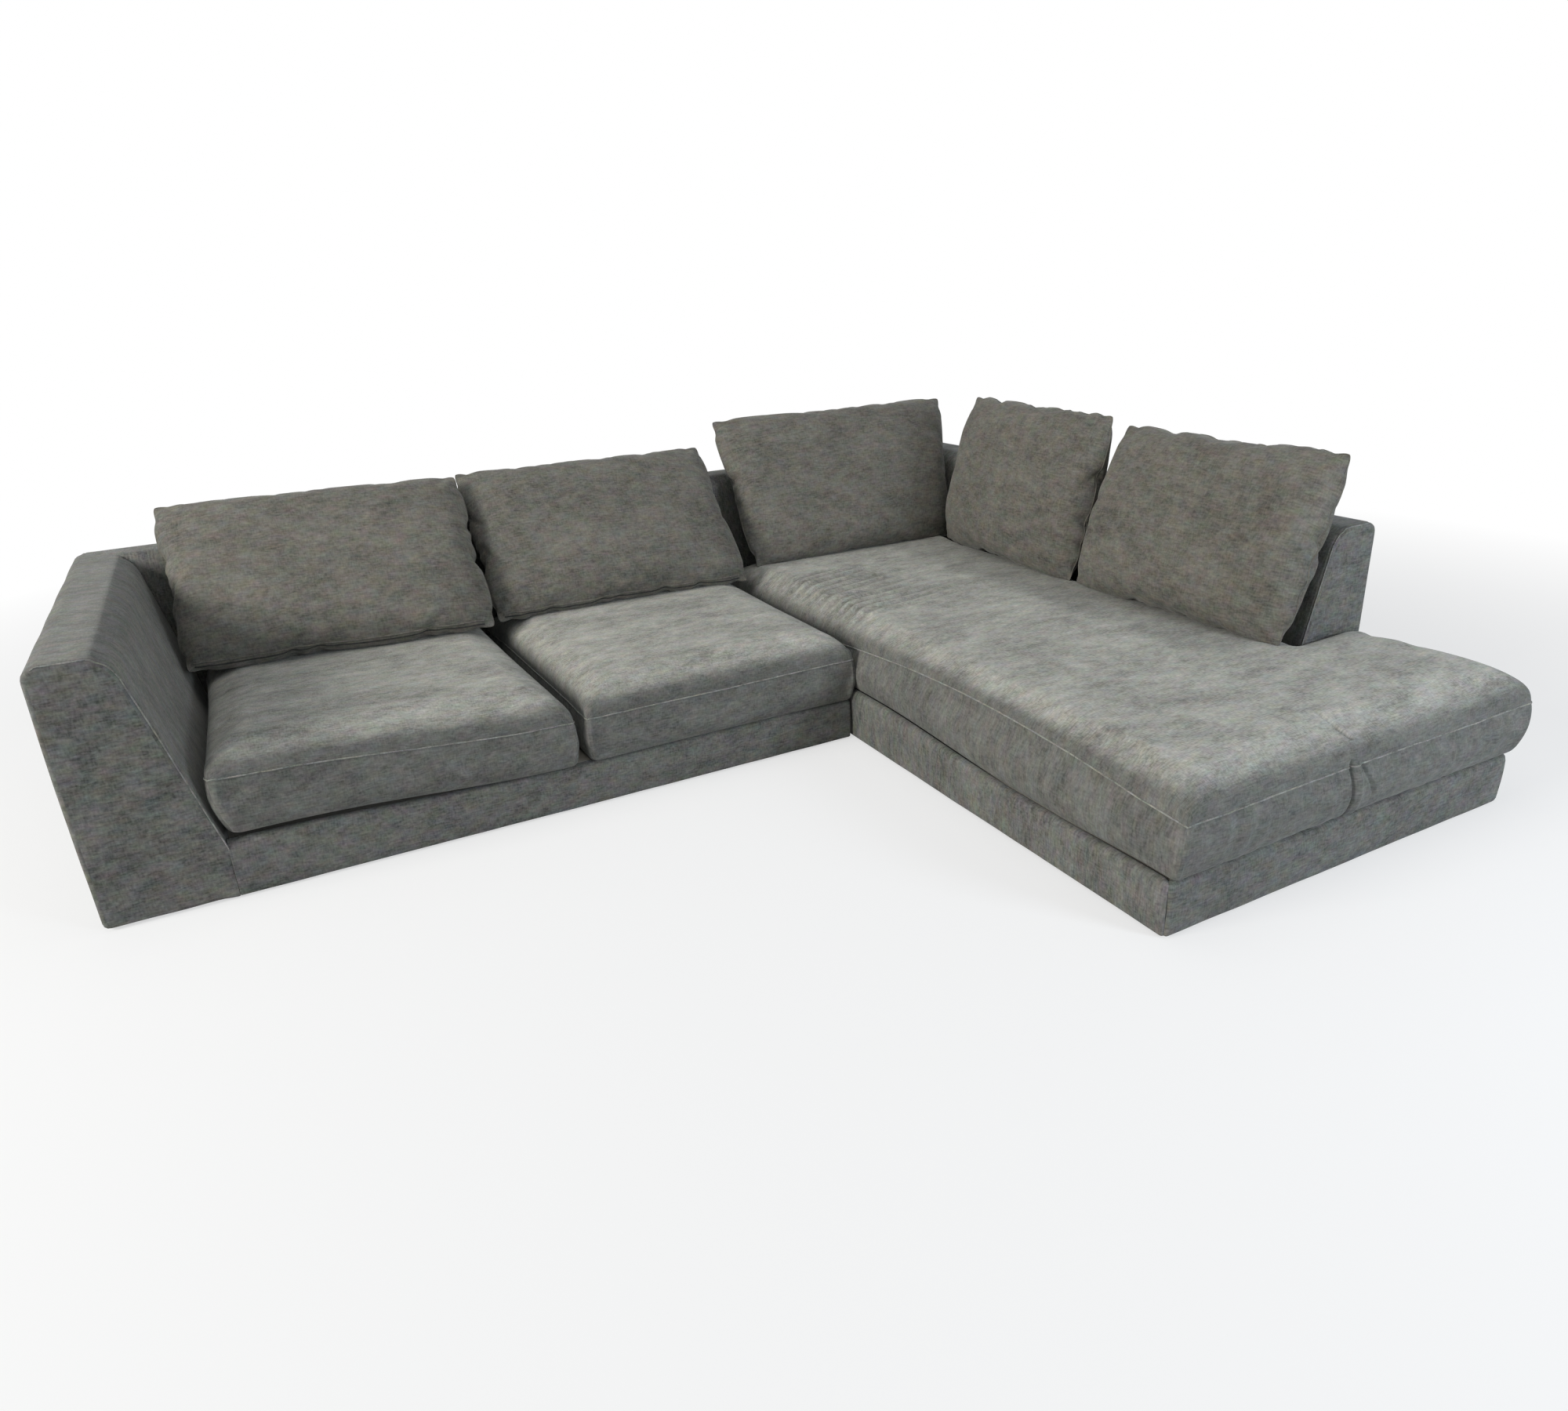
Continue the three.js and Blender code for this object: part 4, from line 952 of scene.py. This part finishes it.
chaise_seat = boxed_cushion(
    "seat_of_chaise", "chaise_cushion",
    x_stops=(0.025, cut_x[0], side_x + 0.032), y_stops=(end_y - 0.014, side_end_y - 0.003, seat_rear[0]),
    x_feet=(0.014, cut_x[1], side_x - 0.004), y_feet=(end_y - 0.006, side_end_y - 0.006, seat_rear[1]),
    seam_at=chaise_seam_at,
    foot_at=lambda x, y: seat_rest + chaise_rise(y) * smooth_step(0.3, 0.04, x) + end_slot(x, y),
    top_at=lambda x, y: chaise_seam + chaise_crown,
    edges=((0.26, 5.27), (0.15, 4.6), (0.3, 5.0), (0.3, 5.0), (0.02, 3.0)),
    radii=(0.014, 0.04), draw_in=(0.006, 0.004), bolt=46.0,
    fine=(((0.10, 0.51, 0.010), (0.51, 0.62, 0.005), (0.62, 1.02, 0.010)), ((0.02, 0.66, 0.012),)),
    dents=chaise_dents, brushed_and_sheen=chaise_sheen_wear_and_shade,
)

# Back cushions: two chenille panels sewn edge to edge and filled with loose fibre, so that they
# are thickest in the middle, with pointed corners and puckered edges. Each stands on its seat
# cushion and leans back on the wall behind it.

pillow_cloth = chenille("chenille_pillow", shade=0.96, contrast=0.8, colour=0.85, warmth=(1.03, 0.985, 0.93))
# A near-black cord of chenille under each zip flap: a painted shadow of the flap.
painted_flap_shadow = chenille("painted_flap_shadow", shade=0.3)
pillow_thickness = 0.18


def surface_of(*pieces):
    """The pieces' faces as one tree, in which the nearest place is found."""
    points = []
    faces = []
    for piece in pieces:
        first = len(points)
        points += [vertex.co.copy() for vertex in piece.data.vertices]
        faces += [[first + v for v in face.vertices] for face in piece.data.polygons]
    return BVHTree.FromPolygons(points, faces)


def pressed_out(point, solid, gap):
    """A place inside a solid goes to the nearest place outside it."""
    near, normal, _, _ = solid.find_nearest(point, 0.12)
    if near is None or (point - near).dot(normal) > gap:
        return point
    return near + normal * gap


def back_cushion(name, node, foot, top, height, shift, lean, yaw, seat, walls, bolt, facing=0.0,
                 sink=0.006, zipped=False, side_ease=0.062):
    """A pillow of two panels. foot and top are its widths, shift how far the top lies aside, lean and
    yaw its slant and turn in degrees, facing the turn of its wall, and sink how deep it is pressed
    into its seat. side_ease is how much the panels widen at mid height."""
    step = 0.0125
    fine_edge = (0.004, 0.009, 0.016)
    corner_radius = 0.03
    ear_reach = 0.042
    top_ease = 0.088
    contact_gap = 0.0012
    flat = 0.01
    spans = []
    for span in (foot, height):
        parts = round((span - 2 * fine_edge[-1]) / step)
        plain = [fine_edge[-1] + (span - 2 * fine_edge[-1]) * part / parts for part in range(1, parts)]
        spans.append([0.0, *fine_edge, *plain, *(span - away for away in reversed(fine_edge)), span])
    xs = [x - foot / 2 for x in spans[0]]
    zs = spans[1]
    rows, columns = len(zs) - 1, len(xs) - 1
    points = []
    index_of = {}
    for face in (-1, 1):
        for row, z in enumerate(zs):
            for column, x in enumerate(xs):
                if face == 1 and (row in (0, rows) or column in (0, columns)):
                    index_of[(face, row, column)] = index_of[(-1, row, column)]
                    continue
                u, v = 2 * x / foot, 2 * z / height - 1
                full = math.sqrt(max(0.0, (1 - u * u) * (1 - v * v)))
                panel_x, panel_z = round_corner(
                    x, z - height / 2, (-foot / 2, foot / 2), (-height / 2, height / 2), corner_radius)
                panel_x *= 1 + side_ease * (1 - v * v)
                panel_z *= 1 + top_ease * (1 - u * u)
                index_of[(face, row, column)] = len(points)
                points.append((panel_x, face * flat * full, panel_z + height / 2))
    faces = []
    lays = []
    for face in (-1, 1):
        for row in range(rows):
            for column in range(columns):
                quad = [index_of[(face, row + b, column + a)] for a, b in ((0, 0), (1, 0), (1, 1), (0, 1))]
                faces.append(quad)
                lays.append([(points[i][0], points[i][2], bolt + face * 0.3) for i in quad])
    piece = sew(name, points, faces, lays, pillow_cloth)
    def plump(mesh):
        depths = [vertex.co.y for vertex in mesh.vertices]
        return max(depths) - min(depths) > 0.97 * pillow_thickness
    stuff(piece, pressure=3, frames=30, cap=None, stiffness=40, full_enough=plump)
    ears = set()
    for (face, row, column), vertex in index_of.items():
        from_side = min(xs[column] - xs[0], xs[-1] - xs[column])
        from_end = min(zs[row], height - zs[row])
        if math.hypot(from_side, from_end) < ear_reach:
            ears.add(vertex)
    form = bmesh.new()
    form.from_mesh(piece.data)
    form.verts.ensure_lookup_table()
    for _ in range(7):
        bmesh.ops.smooth_vert(form, verts=[form.verts[v] for v in sorted(ears)], factor=0.5,
                              use_axis_x=True, use_axis_y=True, use_axis_z=True)
    form.to_mesh(piece.data)
    form.free()
    finer(piece)
    spots = [vertex.co for vertex in piece.data.vertices]
    wide = max(spot.x for spot in spots) - min(spot.x for spot in spots)
    low, high = min(spot.z for spot in spots), max(spot.z for spot in spots)
    deep = max(abs(spot.y) for spot in spots)
    turn = Matrix.Rotation(facing + math.radians(yaw), 3, "Z")
    turn = turn @ Matrix.Rotation(-math.radians(lean), 3, "X")
    placed = []
    for spot in spots:
        climb = (spot.z - low) / (high - low)
        width = foot + (top - foot) * climb
        x = shift * climb + spot.x * width / wide
        y = spot.y * pillow_thickness / 2 / deep * (1.10 - 0.24 * climb)
        placed.append(turn @ Vector((x, y, height * climb)))
    ends = [(min(p[k] for p in placed) + max(p[k] for p in placed)) / 2 for k in range(3)]
    cad_low, cad_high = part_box(node)
    move = (cad_low + cad_high) / 2 - Vector(ends) - Vector((0, 0, sink))
    seat_surface = surface_of(seat)
    wall_surface = surface_of(*walls)
    for vertex, spot in zip(piece.data.vertices, placed):
        spot = pressed_out(spot + move, wall_surface, contact_gap)
        vertex.co = pressed_out(spot, seat_surface, contact_gap)

    def along(*places):
        return [piece.data.vertices[index_of[(-1, row, column)]].co.copy() for row, column in places]

    rim = [(0, column) for column in range(columns + 1)]
    rim += [(row, columns) for row in range(1, rows + 1)]
    rim += [(rows, column) for column in range(columns - 1, -1, -1)]
    rim += [(row, 0) for row in range(rows - 1, 0, -1)]
    welt(name + "_seam", along(*rim), 0.0016, node, pillow_cloth, closed=True)
    if zipped:
        band = range(4, columns - 4)
        welt(name + "_zip_flap", along(*((4, column) for column in band)), 0.0028, node, pillow_cloth)
        # Painted shadow: a near-black cord just under the flap.
        welt(name + "_painted_flap_shadow", along(*((3, column) for column in band)), 0.0026, node, painted_flap_shadow)
    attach(piece, node)
    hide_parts(node)


facing_left = -math.pi / 2
back_cushion(
    "pillow_by_arm", "back_cushion_1", foot=0.886, top=0.899, height=0.56, shift=-0.030, lean=41, yaw=-5.5,
    seat=first_seat, walls=(arm, seat_back), bolt=60.0, zipped=True,
)
back_cushion(
    "pillow_second", "back_cushion_2", foot=0.896, top=0.890, height=0.564, shift=-0.016, lean=41, yaw=-1.7,
    seat=second_seat, walls=(seat_back,), bolt=63.0, zipped=True,
)
back_cushion(
    "pillow_in_corner", "back_cushion_3", foot=0.858, top=1.030, height=0.585, shift=0.056, lean=29.5, yaw=-1,
    seat=chaise_seat, walls=(chaise_back, side_back), bolt=66.0, sink=0.005,
)
back_cushion(
    "pillow_on_side", "back_cushion_4", foot=0.805, top=0.822, height=0.555, shift=-0.004, lean=14, yaw=-4.5,
    seat=chaise_seat, walls=(side_back,), bolt=69.0, facing=facing_left, sink=0.005, side_ease=0.085,
)
back_cushion(
    "pillow_at_end", "back_cushion_5", foot=0.810, top=0.810, height=0.537, shift=0.0, lean=20, yaw=0,
    seat=chaise_seat, walls=(side_back,), bolt=72.0, facing=facing_left, side_ease=0.085,
)

# Studio: a white floor and backdrop, a soft lamp overhead, a key lamp low at the front right and
# a large fill from the left.


def seen_straight(finish):
    """1 for a ray from the camera, and for one that something mirrors or lets through."""
    rays = ("Is Camera Ray", "Is Glossy Ray", "Is Transmission Ray")
    camera, glossy, through = (finish.node("ShaderNodeLightPath", {}, {}, output=ray) for ray in rays)
    return camera + glossy + through


floor_mesh = bpy.data.meshes.new("studio_floor")
floor_corners = [(-40, -40, 0), (40, -40, 0), (40, 40, 0), (-40, 40, 0)]
floor_mesh.from_pydata(floor_corners, [], [(0, 1, 2, 3)])
floor = bpy.data.objects.new("studio_floor", floor_mesh)
bpy.context.scene.collection.objects.link(floor)
paper = Finish(bpy.data.materials.new("white_paper"))
seen = seen_straight(paper)
paper.feed(paper.shader, {
    "Base Color": paper.blend(seen, (0.5, 0.5, 0.5, 1), (0.9, 0.9, 0.9, 1)),
    "Roughness": 0.9,
})
away = paper.node("ShaderNodeVectorMath", {"operation": "LENGTH"}, {0: paper.place()}, output="Value")
fade = {"Value": away, "From Min": 2.6, "From Max": 4.5, "To Min": 0.6}
backdrop = paper.node("ShaderNodeMapRange", {}, fade)
white = paper.node("ShaderNodeEmission", {}, {"Color": (1, 1, 1, 1), "Strength": 1.0})
lit = Strand(paper, paper.shader.outputs[0])
mixed = paper.node("ShaderNodeMixShader", {}, {0: seen * backdrop, 1: lit, 2: white})
paper.feed(paper.tree.nodes["Material Output"], {"Surface": mixed})
floor_mesh.materials.append(paper.owner)

sky_light = (0.250, 0.268, 0.290, 1)
sky = Finish(bpy.data.worlds.new("studio"), "Background")
bpy.context.scene.world = sky.owner
sky_seen = sky.blend(seen_straight(sky), sky_light, (1, 1, 1, 1))
sky.feed(sky.shader, {"Color": sky_seen, "Strength": 1.0})


def lamp(name, place, target, size, power, colour):
    data = bpy.data.lights.new(name, "AREA")
    data.shape = "RECTANGLE"
    data.size, data.size_y = size
    data.energy = power
    data.color = colour
    made = bpy.data.objects.new(name, data)
    made.location = place
    made.rotation_euler = (Vector(target) - Vector(place)).to_track_quat("-Z", "Y").to_euler()
    bpy.context.scene.collection.objects.link(made)


lamp("overhead", (0.0, 0.2, 4.4), (0, 0.2, 0), (4.0, 3.0), 29, (1.0, 0.95, 0.87))
lamp("key", (1.9, -3.8, 1.6), (0.6, -0.3, 0.3), (0.9, 0.9), 54, (0.89, 0.98, 1.08))
lamp("fill", (-6.4, -0.6, 3.1), (0.6, 0, 0.4), (2.5, 2.0), 325, (1.0, 0.98, 0.93))

camera_data = bpy.data.cameras.new("photo_camera")
camera_data.sensor_width = 36
camera_data.lens = 24.08
camera = bpy.data.objects.new("photo_camera", camera_data)
camera.location = (-1.14706, -2.55163, 1.33668)
camera.rotation_euler = [math.radians(angle) for angle in (67.7365, 2.4438, -27.8124)]
bpy.context.scene.collection.objects.link(camera)
bpy.context.scene.camera = camera
bpy.context.scene.view_settings.view_transform = "Standard"
